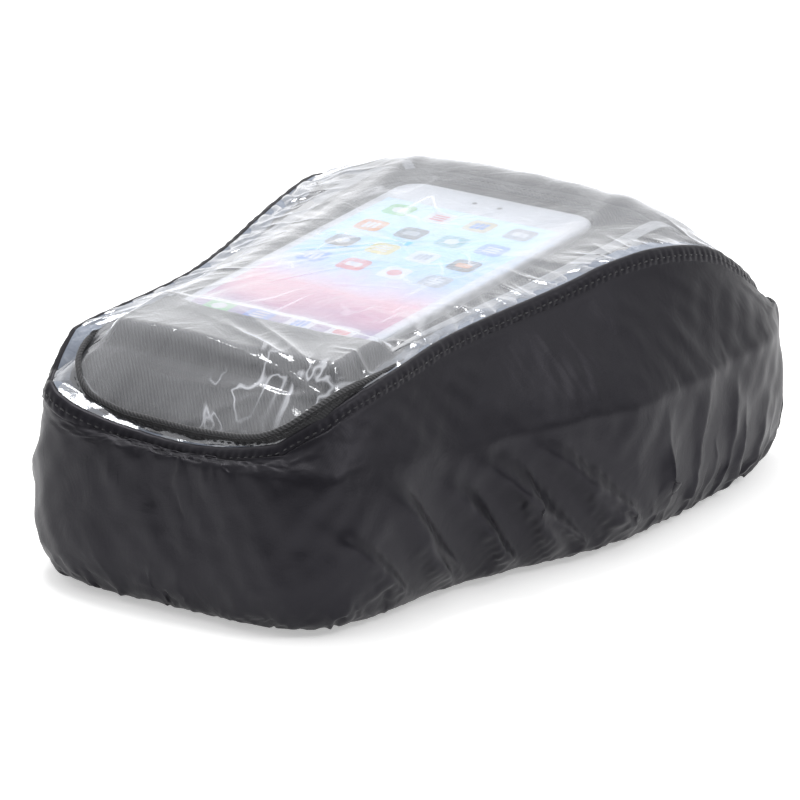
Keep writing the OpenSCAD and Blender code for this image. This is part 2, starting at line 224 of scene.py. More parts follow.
def uv_grid(u, v):
    """A grid's UVs from a value for each row and one for each column."""
    return np.stack(np.broadcast_arrays(u[:, None], v[None, :]), -1)


def grid_faces(n, m, closed=True):
    """Quads over n by m points; a closed grid joins its last row of points to the first."""
    i, j = np.meshgrid(np.arange(n if closed else n - 1), np.arange(m - 1), indexing="ij")
    here, there = i * m + j, (i + 1) % n * m + j
    return np.stack([here, there, there + 1, here + 1], -1).reshape(-1, 4)


def sheet_mesh(name, points, uv, wrap_n=True, wrap_m=False, flip=False):
    """A surface over a grid of points (n, m, 3). Where it closes on itself its UVs run on."""
    n, m = points.shape[:2]
    if wrap_n:
        points = np.concatenate([points, points[:1]])
        end = uv[:1].copy()
        end[..., 0] = uv[-1:, :, 0] + (uv[-1:, :, 0] - uv[-2:-1, :, 0])
        uv = np.concatenate([uv, end])
        n += 1
    if wrap_m:
        points = np.concatenate([points, points[:, :1]], 1)
        end = uv[:, :1].copy()
        end[..., 1] = uv[:, -1:, 1] + (uv[:, -1:, 1] - uv[:, -2:-1, 1])
        uv = np.concatenate([uv, end], 1)
        m += 1
    faces = grid_faces(n, m, closed=False)
    if flip:
        faces = faces[:, ::-1]
    obj = mesh(name, points.reshape(-1, 3), faces, uv.reshape(-1, 2))
    weld(obj)
    return obj


def weld(obj):
    b = bmesh.new()
    b.from_mesh(obj.data)
    bmesh.ops.remove_doubles(b, verts=b.verts, dist=1e-6)
    b.to_mesh(obj.data)
    b.free()


def thicken(obj, t, offset=-1.0):
    m = obj.modifiers.new("thickness", "SOLIDIFY")
    m.thickness, m.offset, m.use_even_offset = t, offset, False


def soften(obj, width):
    m = obj.modifiers.new("soft_edges", "BEVEL")
    m.width, m.segments, m.limit_method, m.angle_limit = width, 2, "ANGLE", math.radians(35)
    m.harden_normals = False


def copies(name, shape_points, shape_faces, places):
    """One mesh with a copy of a small shape at each place: (centre, along, up, scale)."""
    points, faces = [], []
    shape_points = np.asarray(shape_points, float)
    for centre, along, up, scale in places:
        along = np.asarray(along) / np.linalg.norm(along)
        up = np.asarray(up) - along * np.dot(up, along)
        up = up / np.linalg.norm(up)
        axes = np.stack([along, np.cross(up, along), up])
        start = sum(len(p) for p in points)
        points.append(np.asarray(centre) + (shape_points * scale) @ axes)
        faces.extend([[start + i for i in f] for f in shape_faces])
    return mesh(name, np.concatenate(points), faces)


def capsule(length, radius, sides=6):
    """A stitch: a short thread that dives at both ends."""
    ends = [(0.2, 1.0, 0.1), (0.42, 0.8, -0.35), (0.5, 0.15, -0.9)]
    rows = [(-t, r, drop) for t, r, drop in reversed(ends)] + ends
    turns = [TAU * k / sides for k in range(sides)]
    points = [
        (t * length, r * radius * math.cos(a), drop * radius + r * radius * math.sin(a))
        for t, r, drop in rows for a in turns
    ]
    faces = [
        (i * sides + k, i * sides + (k + 1) % sides, (i + 1) * sides + (k + 1) % sides, (i + 1) * sides + k)
        for i in range(len(rows) - 1) for k in range(sides)
    ]
    first, last = tuple(range(sides)), tuple(range((len(rows) - 1) * sides, len(rows) * sides))
    return points, faces + [first[::-1], last]


def stitches(name, line, ups, pitch, body, thread, closed=True):
    """A row of real stitches along a line of points; ups is one direction, or one for each point."""
    line, ups = np.asarray(line, float), np.broadcast_to(ups, np.shape(line))
    if closed:
        line, ups = np.concatenate([line, line[:1]]), np.concatenate([ups, ups[:1]])
    run = run_along(line)
    count = max(2, int(run[-1] / pitch))
    at = (np.arange(count) + 0.5) / count * run[-1]
    half = pitch * 0.3

    def pick(s, values):
        return np.stack([np.interp(s, run, values[:, k]) for k in range(3)], -1)

    along = pick(at + half, line) - pick(at - half, line)
    points, faces = capsule(pitch * 0.62, thread)
    places = zip(pick(at, line), along, pick(at, ups), random.uniform(0.9, 1.1, count))
    finish_piece(copies(name, points, faces, places), body, "thread")


# ---------------------------------------------------------------- materials


class Nodes:
    """Short names for building a material's nodes."""

    def __init__(self, name):
        self.material = bpy.data.materials.new(name)
        self.material.use_nodes = True
        self.tree = self.material.node_tree
        self.shader = self.tree.nodes["Principled BSDF"]
        self.out = self.tree.nodes["Material Output"]

    def add(self, kind, **inputs):
        node = self.tree.nodes.new("ShaderNode" + kind)
        for key, value in inputs.items():
            key = key.replace("_", " ")
            if key in node.inputs:
                self.feed(node.inputs[key], value)
            else:
                setattr(node, key.replace(" ", "_"), value)
        return node

    def feed(self, socket, value):
        if isinstance(value, bpy.types.NodeSocket):
            self.tree.links.new(value, socket)
        else:
            socket.default_value = value

    def look(self, **inputs):
        """Set the main shader's inputs."""
        for key, value in inputs.items():
            self.feed(self.shader.inputs[key.replace("_", " ")], value)

    def math(self, operation, a, b=0.0, clamp=False):
        node = self.tree.nodes.new("ShaderNodeMath")
        node.operation, node.use_clamp = operation, clamp
        self.feed(node.inputs[0], a)
        self.feed(node.inputs[1], b)
        return node.outputs[0]

    def plus(self, a, b, clamp=False):
        return self.math("ADD", a, b, clamp)

    def minus(self, a, b, clamp=False):
        return self.math("SUBTRACT", a, b, clamp)

    def times(self, a, b, clamp=False):
        return self.math("MULTIPLY", a, b, clamp)

    def coords(self, kind):
        return self.tree.nodes.new("ShaderNodeTexCoord").outputs[kind]

    def split(self, vector):
        return self.add("SeparateXYZ", Vector=vector).outputs

    def noise(self, vector, scale, detail=3.0, rough=0.5, distort=0.0):
        node = self.add("TexNoise", Vector=vector, Scale=scale, Detail=detail, Roughness=rough,
                        Distortion=distort)
        return node.outputs["Fac"]

    def mix(self, fac, a, b):
        node = self.tree.nodes.new("ShaderNodeMix")
        node.data_type = "RGBA"
        self.feed(node.inputs[0], fac)
        self.feed(node.inputs[6], a)
        self.feed(node.inputs[7], b)
        return node.outputs[2]

    def either(self, fac, a, b):
        """A mix of two shaders."""
        node = self.add("MixShader")
        for socket, value in zip(node.inputs, (fac, a, b)):
            self.feed(socket, value)
        return node.outputs[0]

    def wave(self, coordinate, period):
        """A sine from 0 to 1 along a coordinate in metres."""
        swing = self.math("SINE", self.times(coordinate, TAU / period))
        return self.plus(self.times(swing, 0.5), 0.5)

    def bump(self, height, strength, distance, normal=None):
        node = self.add("Bump", Height=height, Strength=strength, Distance=distance)
        if normal is not None:
            self.feed(node.inputs["Normal"], normal)
        return node.outputs["Normal"]


def rgb(r, g, b):
    return (r, g, b, 1.0)


def shades(color, low, high):
    return rgb(*(c * low for c in color)), rgb(*(c * high for c in color))


def woven(name, color, period, kind="plain", rough=0.6, sheen=0.3, depth=0.12 * MM, wear=0.25, specular=0.3,
          coords="UV", contrast=0.35):
    """Cloth: twill, plain weave or webbing, with mottling and a little wear. Coordinates are in metres."""
    n = Nodes(name)
    place = n.coords("Object")
    x, y, z = n.split(n.coords(coords))
    if coords == "Object":
        y = n.plus(y, z)
    if kind == "twill":
        slant = period * math.sqrt(2)
        lines, cross = n.wave(n.plus(x, y), slant), n.wave(n.minus(x, y), slant * 0.8)
        weave = n.plus(n.times(lines, 0.8), n.times(cross, 0.2))
    elif kind == "webbing":
        bent = n.plus(y, n.times(n.wave(x, period), period * 0.25))
        weave = n.times(n.wave(bent, period), n.wave(x, period * 0.9))
    else:
        weave = n.times(n.wave(x, period), n.wave(y, period))
    blotch = n.noise(place, 35.0, 4.0, 0.6)
    grain = n.noise(place, 1400.0, 2.0, 0.5)
    base = n.mix(weave, *shades(color, 1 - contrast, 1 + contrast))
    worn = n.times(n.minus(blotch, 0.45), wear * 2, True)
    base = n.mix(worn, base, shades(color, 1, 1.6)[1])
    base = n.mix(n.times(grain, 0.3), base, shades(color, 0.6, 1)[0])
    soft = n.bump(n.noise(place, 90.0, 3.0, 0.55), 0.35, 1.2 * MM)
    n.look(Base_Color=base, Roughness=n.plus(rough - 0.08, n.times(blotch, 0.16)), Sheen_Weight=sheen,
           Sheen_Roughness=0.35, Specular_IOR_Level=specular, Normal=n.bump(weave, 0.6, depth, soft))
    return n.material


def nylon(name):
    """Thin satin rain-cover nylon: fine weave, small crinkles and a soft shine."""
    n = Nodes(name)
    place = n.coords("Object")
    x, y, _ = n.split(n.coords("UV"))
    rip = n.times(n.wave(x, 0.5 * MM), n.wave(y, 0.5 * MM))
    blotch = n.noise(place, 22.0, 4.0, 0.55)
    color = (0.0052, 0.0049, 0.0072)
    base = n.mix(blotch, *shades(color, 0.82, 1.25))
    base = n.mix(n.times(rip, 0.25), base, shades(color, 1, 1.7)[1])
    crinkle = n.bump(n.noise(place, 75.0, 5.0, 0.6, 0.6), 0.3, 1.0 * MM)
    n.look(Base_Color=base, Roughness=n.plus(0.36, n.times(blotch, 0.12)), Specular_IOR_Level=0.26,
           Specular_Tint=rgb(0.93, 0.9, 1.0), Sheen_Weight=0.05, Sheen_Roughness=0.4,
           Normal=n.bump(rip, 0.3, 0.05 * MM, crinkle))
    return n.material


def clear_film(name, haze, rough, ripple, gain, painted_glints=0.0):
    """Clear soft film: it mirrors the bright room more at a low angle and is a little milky."""
    n = Nodes(name)
    n.tree.nodes.remove(n.shader)
    place = n.coords("Object")
    normal = n.bump(n.noise(place, 60.0, 5.0, 0.62, 1.2), 0.5, ripple)
    fresnel = n.add("Fresnel", IOR=1.45, Normal=normal).outputs[0]
    both_faces = n.times(n.times(fresnel, n.minus(2.0, fresnel)), gain, True)
    clear = n.add("BsdfTransparent", Color=rgb(0.97, 0.98, 1.0)).outputs[0]
    milk = n.add("BsdfDiffuse", Color=rgb(0.84, 0.86, 0.92), Normal=normal).outputs[0]
    gloss = n.add("BsdfGlossy", Color=rgb(0.96, 0.97, 1.0), Roughness=rough, Normal=normal).outputs[0]
    cloudy = n.plus(haze * 0.5, n.times(n.noise(place, 30.0, 3.0, 0.5), haze))
    # painted highlights: thin white lines, laid out by stretched noise in patches, that stand in for the
    # glints on the film's creases
    turned = n.add("Mapping", Vector=place, Rotation=(0, 0, 0.6), Scale=(1.0, 0.32, 1.0)).outputs[0]
    off_line = n.math("ABSOLUTE", n.minus(n.noise(turned, 55.0, 2.0, 0.5, 0.9), 0.5))
    lines = n.minus(1.0, n.times(off_line, 34.0), True)
    where = n.times(n.minus(n.noise(place, 24.0, 2.0, 0.5), 0.5), 7.0, True)
    white = n.plus(cloudy, n.times(n.times(lines, where), painted_glints), True)
    n.feed(n.out.inputs["Surface"], n.either(both_faces, n.either(white, clear, milk), gloss))
    return n.material


def hard(name, color, rough=0.45, metal=0.0, grain=300.0, bumpy=0.08 * MM, specular=0.5, brushed=False):
    """Moulded plastic, rubber or metal with a fine grain, smudges and light wear."""
    n = Nodes(name)
    place = n.coords("Object")
    fine = n.noise(place, grain, 3.0, 0.6)
    if brushed:
        stretched = n.add("Mapping", Vector=place, Scale=(18.0, 1.0, 1.0)).outputs[0]
        fine = n.noise(stretched, 220.0, 4.0, 0.6)
    smudge = n.noise(place, 28.0, 4.0, 0.6, 0.4)
    n.look(Base_Color=n.mix(smudge, *shades(color, 0.8, 1.2)), Metallic=metal, Specular_IOR_Level=specular,
           Roughness=n.plus(rough - 0.1, n.times(smudge, 0.2)), Normal=n.bump(fine, 0.4, bumpy))
    return n.material


def tape_material(name):
    """Translucent seam tape: blue-grey, crinkled and half glossy."""
    n = Nodes(name)
    place = n.coords("Object")
    crinkle = n.noise(place, 160.0, 5.0, 0.65, 0.8)
    cloud = n.noise(place, 70.0, 3.0, 0.6)
    n.look(Base_Color=n.mix(cloud, rgb(0.16, 0.19, 0.25), rgb(0.34, 0.38, 0.46)), Roughness=0.3,
           Alpha=n.plus(0.55, n.times(cloud, 0.4), True), Normal=n.bump(crinkle, 0.8, 0.8 * MM))
    return n.material


PICTURE_LOW, PICTURE_HIGH = (0.26, 0.20, 0.38), (0.62, 0.80, 0.93)
PICTURE_BETWEEN = {
    0.14: (0.50, 0.22, 0.36), 0.30: (0.72, 0.40, 0.46), 0.42: (0.56, 0.56, 0.72), 0.55: (0.34, 0.60, 0.84),
    0.75: (0.45, 0.72, 0.92),
}


def wallpaper(name):
    """A plain picture: pale blue that turns pink and violet low down, with a painted glow: it gives off a
    little light though it is only printed.
    """
    n = Nodes(name)
    up = n.split(n.coords("UV"))[1]
    cloud = n.noise(n.coords("Object"), 26.0, 3.0, 0.5, 0.8)
    ramp = n.add("ValToRGB", Fac=n.plus(up, n.times(n.minus(cloud, 0.5), 0.35)))
    stops = ramp.color_ramp.elements
    stops[0].color, stops[1].color = rgb(*PICTURE_LOW), rgb(*PICTURE_HIGH)
    for at, color in PICTURE_BETWEEN.items():
        stops.new(at).color = rgb(*color)
    # painted glow: the printed picture's colour is also emitted as light
    n.look(Base_Color=ramp.outputs[0], Emission_Color=ramp.outputs[0], Emission_Strength=0.25, Roughness=0.25)
    return n.material


def grip(name):
    """Moulded anti-slip rubber: rows of small raised dots."""
    n = Nodes(name)
    x, y, _ = n.split(n.coords("Object"))
    dots = n.times(n.wave(x, 4.2 * MM), n.wave(y, 4.2 * MM))
    dots = n.math("SMOOTH_MIN", dots, 0.5)
    dust = n.noise(n.coords("Object"), 40.0, 4.0, 0.6)
    n.look(Base_Color=n.mix(dust, rgb(0.013, 0.013, 0.014), rgb(0.03, 0.03, 0.031)), Specular_IOR_Level=0.3,
           Roughness=n.plus(0.66, n.times(dots, 0.2)), Normal=n.bump(dots, 0.9, 0.8 * MM))
    return n.material


WEBBING = dict(color=(0.016, 0.016, 0.018), period=1.4 * MM, kind="webbing", depth=0.3 * MM, contrast=0.5)
MATERIALS = {
    "nylon": nylon("rain_nylon"),
    # the window film's last number sets how strong its painted highlight lines are
    "film": clear_film("window_film", 0.085, 0.11, 0.9 * MM, 1.7, 0.5),
    "pocket_film": clear_film("pocket_film", 0.02, 0.06, 0.25 * MM, 0.5),
    "tape": tape_material("seam_tape"),
    "thread": woven("thread", (0.03, 0.03, 0.034), 0.3 * MM, sheen=0.4, coords="Object"),
    "twill": woven("lid_twill", (0.04, 0.04, 0.043), 1.0 * MM, "twill", 0.55, 0.25, 0.25 * MM, 0.1,
                   contrast=0.9),
    "bag_fabric": woven("bag_fabric", (0.02, 0.02, 0.022), 0.8 * MM, "twill", 0.6, 0.25, 0.15 * MM,
                        contrast=0.5),
    "lining": woven("lining", (0.075, 0.080, 0.095), 0.5 * MM, rough=0.5, depth=0.06 * MM),
    "webbing": woven("webbing", **WEBBING),
    "zip_tape": woven("zip_tape", (0.014, 0.014, 0.015), 0.7 * MM, "webbing", 0.65),
    "elastic": woven("elastic", (0.016, 0.015, 0.018), 1.0 * MM, "webbing", sheen=0.2, depth=0.2 * MM),
    "trim": woven("pale_trim", (0.50, 0.51, 0.53), 0.6 * MM, "plain", 0.4, 0.2, 0.08 * MM, specular=0.5,
                  contrast=0.12),
    "foam": woven("foam", (0.05, 0.05, 0.055), 1.0 * MM, rough=0.9, sheen=0.2, coords="Object"),
    "coil": hard("zip_coil", (0.012, 0.012, 0.013), 0.35),
    "rubber": hard("rubber", (0.018, 0.018, 0.019), 0.75, grain=900.0, bumpy=0.15 * MM, specular=0.3),
    "board": hard("board", (0.012, 0.012, 0.014), 0.5, grain=500.0),
    "lock": hard("lock_plastic", (0.016, 0.016, 0.018), 0.42, grain=1200.0, bumpy=0.06 * MM),
    "plate": hard("backing_plate", (0.55, 0.56, 0.58), 0.35, 1.0, brushed=True),
    "steel": hard("screw_steel", (0.6, 0.6, 0.62), 0.28, 1.0, grain=700.0, bumpy=0.02 * MM),
    "slider": hard("slider_lacquer", (0.03, 0.03, 0.033), 0.3, 0.6, grain=600.0, bumpy=0.03 * MM),
    "insert": hard("insert_white", (0.86, 0.87, 0.88), 0.22, grain=200.0, bumpy=0.01 * MM),
    "picture": wallpaper("wallpaper"),
    "strap": woven("strap", coords="Object", **WEBBING),
    "grip": grip("grip_pad"),
}


def paint(obj, key):
    obj.data.materials.clear()
    obj.data.materials.append(MATERIALS[key])


def finish_piece(obj, body, material, replaces=()):
    paint(obj, material)
    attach(obj, body)
    if replaces:
        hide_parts(*replaces)


# ---------------------------------------------------------------- rain cover: skirt

AROUND, DOWN = 1200, 91
MIDDLE_ROW, LOW_ROW = 40, 80
angles, skirt_length = even_angles(cover_in, AROUND)
arc = np.arange(AROUND) / AROUND * skirt_length
down = np.linspace(0, 1, DOWN)
hem_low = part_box("cover_skirt")[0].z


def on_outline(outline, a, z, from_top):
    p = outline.at(a)
    height = top_z(p[:, 0], p[:, 1]) + z if from_top else np.full(len(a), z)
    return np.column_stack([p, height])


def outward(a, outline):
    """Level unit vectors that point away from the outline."""
    p = outline.at(a + 1e-4) - outline.at(a - 1e-4)
    p = p / np.linalg.norm(p, axis=1)[:, None]
    return np.column_stack([p[:, 1], -p[:, 0], np.zeros(len(a))])


def between(a, b, c, d, u):
    """A place from b (u = 0) to c (u = 1) on the smooth curve through a, b, c and d."""
    square, cube = (2 * a - 5 * b + 4 * c - d) * u * u, (3 * b - a - 3 * c + d) * u ** 3
    return 0.5 * (2 * b + (c - a) * u + square + cube)


def spline(rows, t):
    """Points at t, from 0 to 1, on a smooth line through rows (k, n, 3)."""
    last = len(rows) - 2
    rows = np.concatenate([2 * rows[:1] - rows[1:2], rows, 2 * rows[-1:] - rows[-2:-1]])
    out = []
    for value in t * (last + 1):
        i = min(int(value), last)
        out.append(between(*rows[i:i + 4], value - i))
    return np.stack(out, 1)


def skirt_base():
    """The skirt without its folds: from the seam out over the zip line, down, and in under the hem."""
    seam = cover_edge.at(angles)
    first = on_outline(cover_edge.grown(1.2 * MM), angles, -3.5 * MM, True)
    first[:, 2] += seam_rise(seam[:, 0], seam[:, 1])
    rows = [
        first,
        on_outline(cover_edge.grown(9.5 * MM), angles, 0, True),
        on_outline(cover_in.grown(0.5 * MM), angles, zip_z + 2 * MM, False),
        on_outline(cover_in.moved(2 * MM, 1 * MM, 2.6 * MM), angles, 0.033, False),
        on_outline(cover_in.moved(2.4 * MM, 1 * MM, 2.2 * MM), angles, 0.017, False),
        on_outline(cover_in.moved(-1 * MM, -2 * MM, -3 * MM), angles, 0.0055, False),
        on_outline(cover_in.moved(-9 * MM, -7 * MM, -12 * MM), angles, hem_low + 0.3 * MM, False),
    ]
    drop = first[:, 2] - (zip_z + 2 * MM)
    share = 0.46
    rows[1][:, :2] = first[:, :2] * (1 - share) + rows[2][:, :2] * share
    rows[1][:, 2] = first[:, 2] - drop * 0.42
    return spline(np.stack(rows), down)


def place_share(y):
    """0 at the rider end, 1 at the handlebar end."""
    return (y - cad_low.y) / (cad_high.y - cad_low.y)


def around(d):
    """A signed distance along the hem, the short way round."""
    return (d + skirt_length / 2) % skirt_length - skirt_length / 2


def folds(points):
    """How far the gathers push each point out: ridges up from the hem, and slanting ones on each side."""
    r = np.random.default_rng(23)
    height, y = points[..., 2], points[..., 1]
    u = np.broadcast_to(arc[:, None], height.shape)
    push = np.zeros_like(height)
    at = 0.0
    while at < skirt_length:
        i = int(at / skirt_length * AROUND) % AROUND
        forward = smooth(place_share(points[i, MIDDLE_ROW, 1]), 0.3, 0.75)
        side = 1 if points[i, MIDDLE_ROW, 0] > 0 else -1
        width = r.uniform(3.4, 5.6) * MM * (1.5 - 0.5 * forward)
        reach = (r.uniform(20, 34) + r.uniform(8, 32) * forward) * MM
        size = r.uniform(1.6, 4.6) * MM * (0.3 + 0.95 * forward)
        t = np.clip(height / reach, 0, 1)
        lean = r.uniform(-0.35, 0.15) * side
        d = around(u - at - lean * height - r.uniform(4, 15) * side * MM * t * t)
        spread = width * (0.7 + 0.8 * t)
        crisp = 0.4 * np.exp(-np.abs(d) / (0.7 * spread))
        ridge = 0.6 * bell(d, spread) + crisp - 0.6 * bell(d, spread * 1.9)
        push += size * (1 - smooth(t, 0.45, 1.0)) * ridge
        at += width * r.uniform(1.7, 2.9)
    low_x, low_y = points[:, LOW_ROW, 0], points[:, LOW_ROW, 1]
    for side in (-1, 1):
        for start in np.linspace(-74, 34, 8) + r.normal(0, 4, 8):
            here = np.where(low_x * side > 0, np.abs(low_y - start * MM), 1)
            s = arc[np.argmin(here)]
            lean = -side * r.uniform(0.7, 1.35)
            width, size, top = r.uniform(4.0, 7.5) * MM, r.uniform(2.2, 4.4) * MM, r.uniform(40, 60) * MM
            bend = side * r.uniform(-10, 4) * MM
            t = height / top
            d = around(u - s - lean * height - bend * t * t)
            fade = smooth(height, 3 * MM, 16 * MM) * (1 - smooth(t, 0.55, 1.0))
            hollow = 0.5 * bell(d - side * 1.6 * width, width * 1.3)
            push += size * fade * (bell(d, width * (0.6 + 0.6 * t)) - hollow)
    sides = smooth(y, -70 * MM, -40 * MM)
    push += 0.9 * MM * bell(height - 51 * MM, 2.6 * MM) * sides
    return push


def skirt_points():
    base = skirt_base()
    out = outward(angles, cover_in)
    free = smooth(down, 0.02, 0.5)[None, :]
    u = arc[:, None]
    slack = ripples(u, down[None, :] * 0.1, skirt_length, 3, 10, 6, 22, 1.5) * 0.5 * MM
    fine = ripples(u, down[None, :] * 0.1, skirt_length, 5, 12, 30, 80, 1.2) * 0.16 * MM
    shift = folds(base) * free + (slack + fine) * smooth(down, 0, 0.12)[None, :]
    points = base + out[:, None, :] * shift[..., None]
    points[..., 2] = np.maximum(points[..., 2], hem_low)
    over_strap = smooth(-base[:, -1, 1], 90 * MM, 100 * MM) * bell(base[:, -1, 0], 16 * MM)
    scallop = ripples(arc, 0, skirt_length, 9, 10, 20, 60) * (1 - over_strap) - over_strap
    points[..., 2] += (0.9 * MM * (1 + scallop))[:, None] * smooth(down, 0.85, 1.0)[None, :]
    return base, points


def settle(start, rest, held, wall):
    """Let a ring of cloth buckle from its start towards its rest lengths, outside a wall."""
    n, m = start.shape[:2]
    cloth_obj = mesh("cloth_run", start.reshape(-1, 3), grid_faces(n, m))
    cloth_obj.shape_key_add(name="start")
    key = cloth_obj.shape_key_add(name="rest")
    key.data.foreach_set("co", rest.astype(np.float32).ravel())
    group = cloth_obj.vertex_groups.new(name="held")
    for j, weight in held.items():
        group.add([int(i * m + j) for i in range(n)], weight, "REPLACE")
    wall_obj = mesh("cloth_wall", wall.reshape(-1, 3), grid_faces(*wall.shape[:2])[:, ::-1])
    wall_obj.modifiers.new("collision", "COLLISION")
    wall_obj.collision.thickness_outer = 0.6 * MM
    cloth = cloth_obj.modifiers.new("cloth", "CLOTH")
    cloth.settings.rest_shape_key = key
    cloth.settings.vertex_group_mass = "held"
    cloth.settings.quality = 5
    cloth.settings.mass = 0.08
    cloth.settings.tension_stiffness = cloth.settings.compression_stiffness = 12
    cloth.settings.shear_stiffness = 4
    cloth.settings.bending_stiffness = 2.5
    cloth.settings.effector_weights.gravity = 0.35
    cloth.collision_settings.distance_min = 0.8 * MM
    cloth.collision_settings.use_self_collision = False
    cloth.point_cache.frame_start, cloth.point_cache.frame_end = 1, SETTLE_FRAMES
    scene = bpy.context.scene
    for frame_number in range(1, SETTLE_FRAMES + 1):
        scene.frame_set(frame_number)
    result = cloth_obj.evaluated_get(bpy.context.evaluated_depsgraph_get()).to_mesh()
    points = np.empty(n * m * 3, np.float32)
    result.vertices.foreach_get("co", points)
    scene.frame_set(1)
    for obj in (cloth_obj, wall_obj):
        bpy.data.objects.remove(obj, do_unlink=True)
    return points.reshape(n, m, 3).astype(float)


def finer(points, k):
    """k times the points both ways, on smooth curves; the first way is closed."""
    rolled = [np.roll(points, shift, 0) for shift in (1, 0, -1, -2)]
    closed = np.stack([between(*rolled, u) for u in np.arange(k) / k], 1).reshape(-1, *points.shape[1:])
    return spline(closed.transpose(1, 0, 2), np.linspace(0, 1, (points.shape[1] - 1) * k + 1))


def slow_part(push, waves):
    """What changes slowly round the skirt."""
    spectrum = np.fft.rfft(push, axis=0)
    order = np.arange(len(spectrum))[:, None]
    return np.fft.irfft(spectrum * np.exp(-((order / waves) ** 2)), n=len(push), axis=0)


SETTLE_FRAMES, COARSE = 14, 3
flat_skirt, drawn = skirt_points()
skirt = drawn
start, base = drawn[::COARSE, ::COARSE], flat_skirt[::COARSE, ::COARSE]
extra = 0.12 * smooth(down[::COARSE], 0.3, 0.85)[None, :, None] * np.array([1, 1, 0])
rest = base + (base - np.array([0, pocket_middle, 0])) * extra
last = start.shape[1] - 1
wall = base - outward(angles, cover_in)[::COARSE, None, :] * 1.4 * MM
skirt = finer(settle(start, rest, {0: 1.0, 1: 0.9, last - 1: 0.8, last: 1.0}, wall), COARSE)
# The folds it found are mixed with the drawn ones. Where it swelled away from the bag it is laid back,
# and it stays out of the room that the bag needs.
away = outward(angles, cover_in)[:, None, :]
push = np.sum((skirt - flat_skirt) * away, -1)
least = -0.9 * MM
kept = slow_part(push, 64) - 0.85 * slow_part(push, 12)
kept[:, 1:-1] = (kept[:, :-2] + 2 * kept[:, 1:-1] + kept[:, 2:]) / 4
kept = 0.6 * kept + 0.95 * np.sum((drawn - flat_skirt) * away, -1)
kept = least + np.log1p(np.exp((kept - least) / BLEND)) * BLEND
skirt += away * (kept - push)[..., None] * smooth(down, 0.0, 0.05)[None, :, None]
skirt[..., 2] = np.maximum(skirt[..., 2], hem_low)
skirt_obj = sheet_mesh("rain_skirt", skirt, uv_grid(arc, np.linspace(0.12, 0, DOWN)), flip=True)
thicken(skirt_obj, 0.35 * MM)
finish_piece(skirt_obj, "rain_cover", "nylon", ("cover_skirt",))

# ---------------------------------------------------------------- rain cover: window


def hump(x, y):
    """The lid's cloth stands up over the lower edge of the pocket and a little round its sides."""
    low = 2.0 * MM * bell(y + 74 * MM, 9 * MM) * smooth(-np.abs(x), -44 * MM, -28 * MM)
    sides = 0.8 * MM * bell(np.abs(x) - 41 * MM, 5 * MM) * smooth(y, -70 * MM, -50 * MM)
    return low + sides


INSERT_TOP, INSERT_T, CORNER = 0.0, 7 * MM, 10 * MM


def over_insert(x, y, z, gap):
    """Heights that stay clear of the insert's end, which lies under the lid's cloth."""
    near = smooth(-y, 62 * MM, 68 * MM) * smooth(y, -101 * MM, -92 * MM)
    near = near * smooth(-np.abs(x), -47 * MM, -41 * MM)
    room = lid_z + lid_slope * y + INSERT_TOP + gap - z
    return z + near * np.logaddexp(0, room / BLEND) * BLEND


def crease(x, y, start, turn, long, height, width, bend):
    """One sharp fold: a ridge with a hollow on each side that fades in and out along its length."""
    px, py = x - start[0], y - start[1]
    along = px * math.cos(turn) + py * math.sin(turn)
    across = -px * math.sin(turn) + py * math.cos(turn) + along * along * bend
    taper = smooth(along, -4 * MM, 6 * MM) * (1 - smooth(along, long * 0.35, long))
    return height * taper * (np.exp(-np.abs(across) / width) - 0.45 * bell(across, 3.2 * width))


def film_creases(x, y):
    """Puckers on the right, slanting ones on the left, long ones from a nose corner, some at the far end."""
    r = np.random.default_rng(47)
    rim = cover_edge.grown(-2.5 * MM)

    def one(start, turn, long, height, width, bend):
        sizes = [r.uniform(*size) * MM for size in (long, height, width)]
        return crease(x, y, start, turn, *sizes, r.uniform(-bend, bend))

    def from_rim(first, last, count, turn, spread, *sizes):
        starts = [rim.at(np.array([a]))[0] for a in r.uniform(first, last, count)]
        return sum(one(start, r.normal(turn, spread), *sizes) for start in starts)

    z = from_rim(-0.95, 0.72, 30, math.pi, 0.35, (11, 24), (0.4, 1.0), (0.9, 1.8), 6)
    z += from_rim(2.45, 3.95, 34, 0.85, 0.2, (18, 40), (0.3, 0.8), (0.8, 1.5), 5)
    corner = np.array([44, -101]) * MM
    for turn in np.linspace(2.55, 3.35, 7) + r.normal(0, 0.05, 7):
        z += one(corner + r.normal(0, 2.5, 2) * MM, turn, (45, 88), (0.5, 1.3), (1.2, 2.4), 2)
    z += from_rim(1.0, 2.2, 14, -math.pi / 2, 0.5, (12, 34), (0.3, 0.9), (1.0, 2.0), 5)
    for _ in range(7):
        start = np.array([r.uniform(-36, 20), r.uniform(-62, 50)]) * MM
        z += one(start, r.uniform(0.3, 2.4), (30, 70), (0.12, 0.3), (0.6, 1.0), 3)
    return z


RINGS = 170
film_angles, film_length = even_angles(cover_edge, AROUND)
film_arc = np.arange(AROUND) / AROUND * film_length


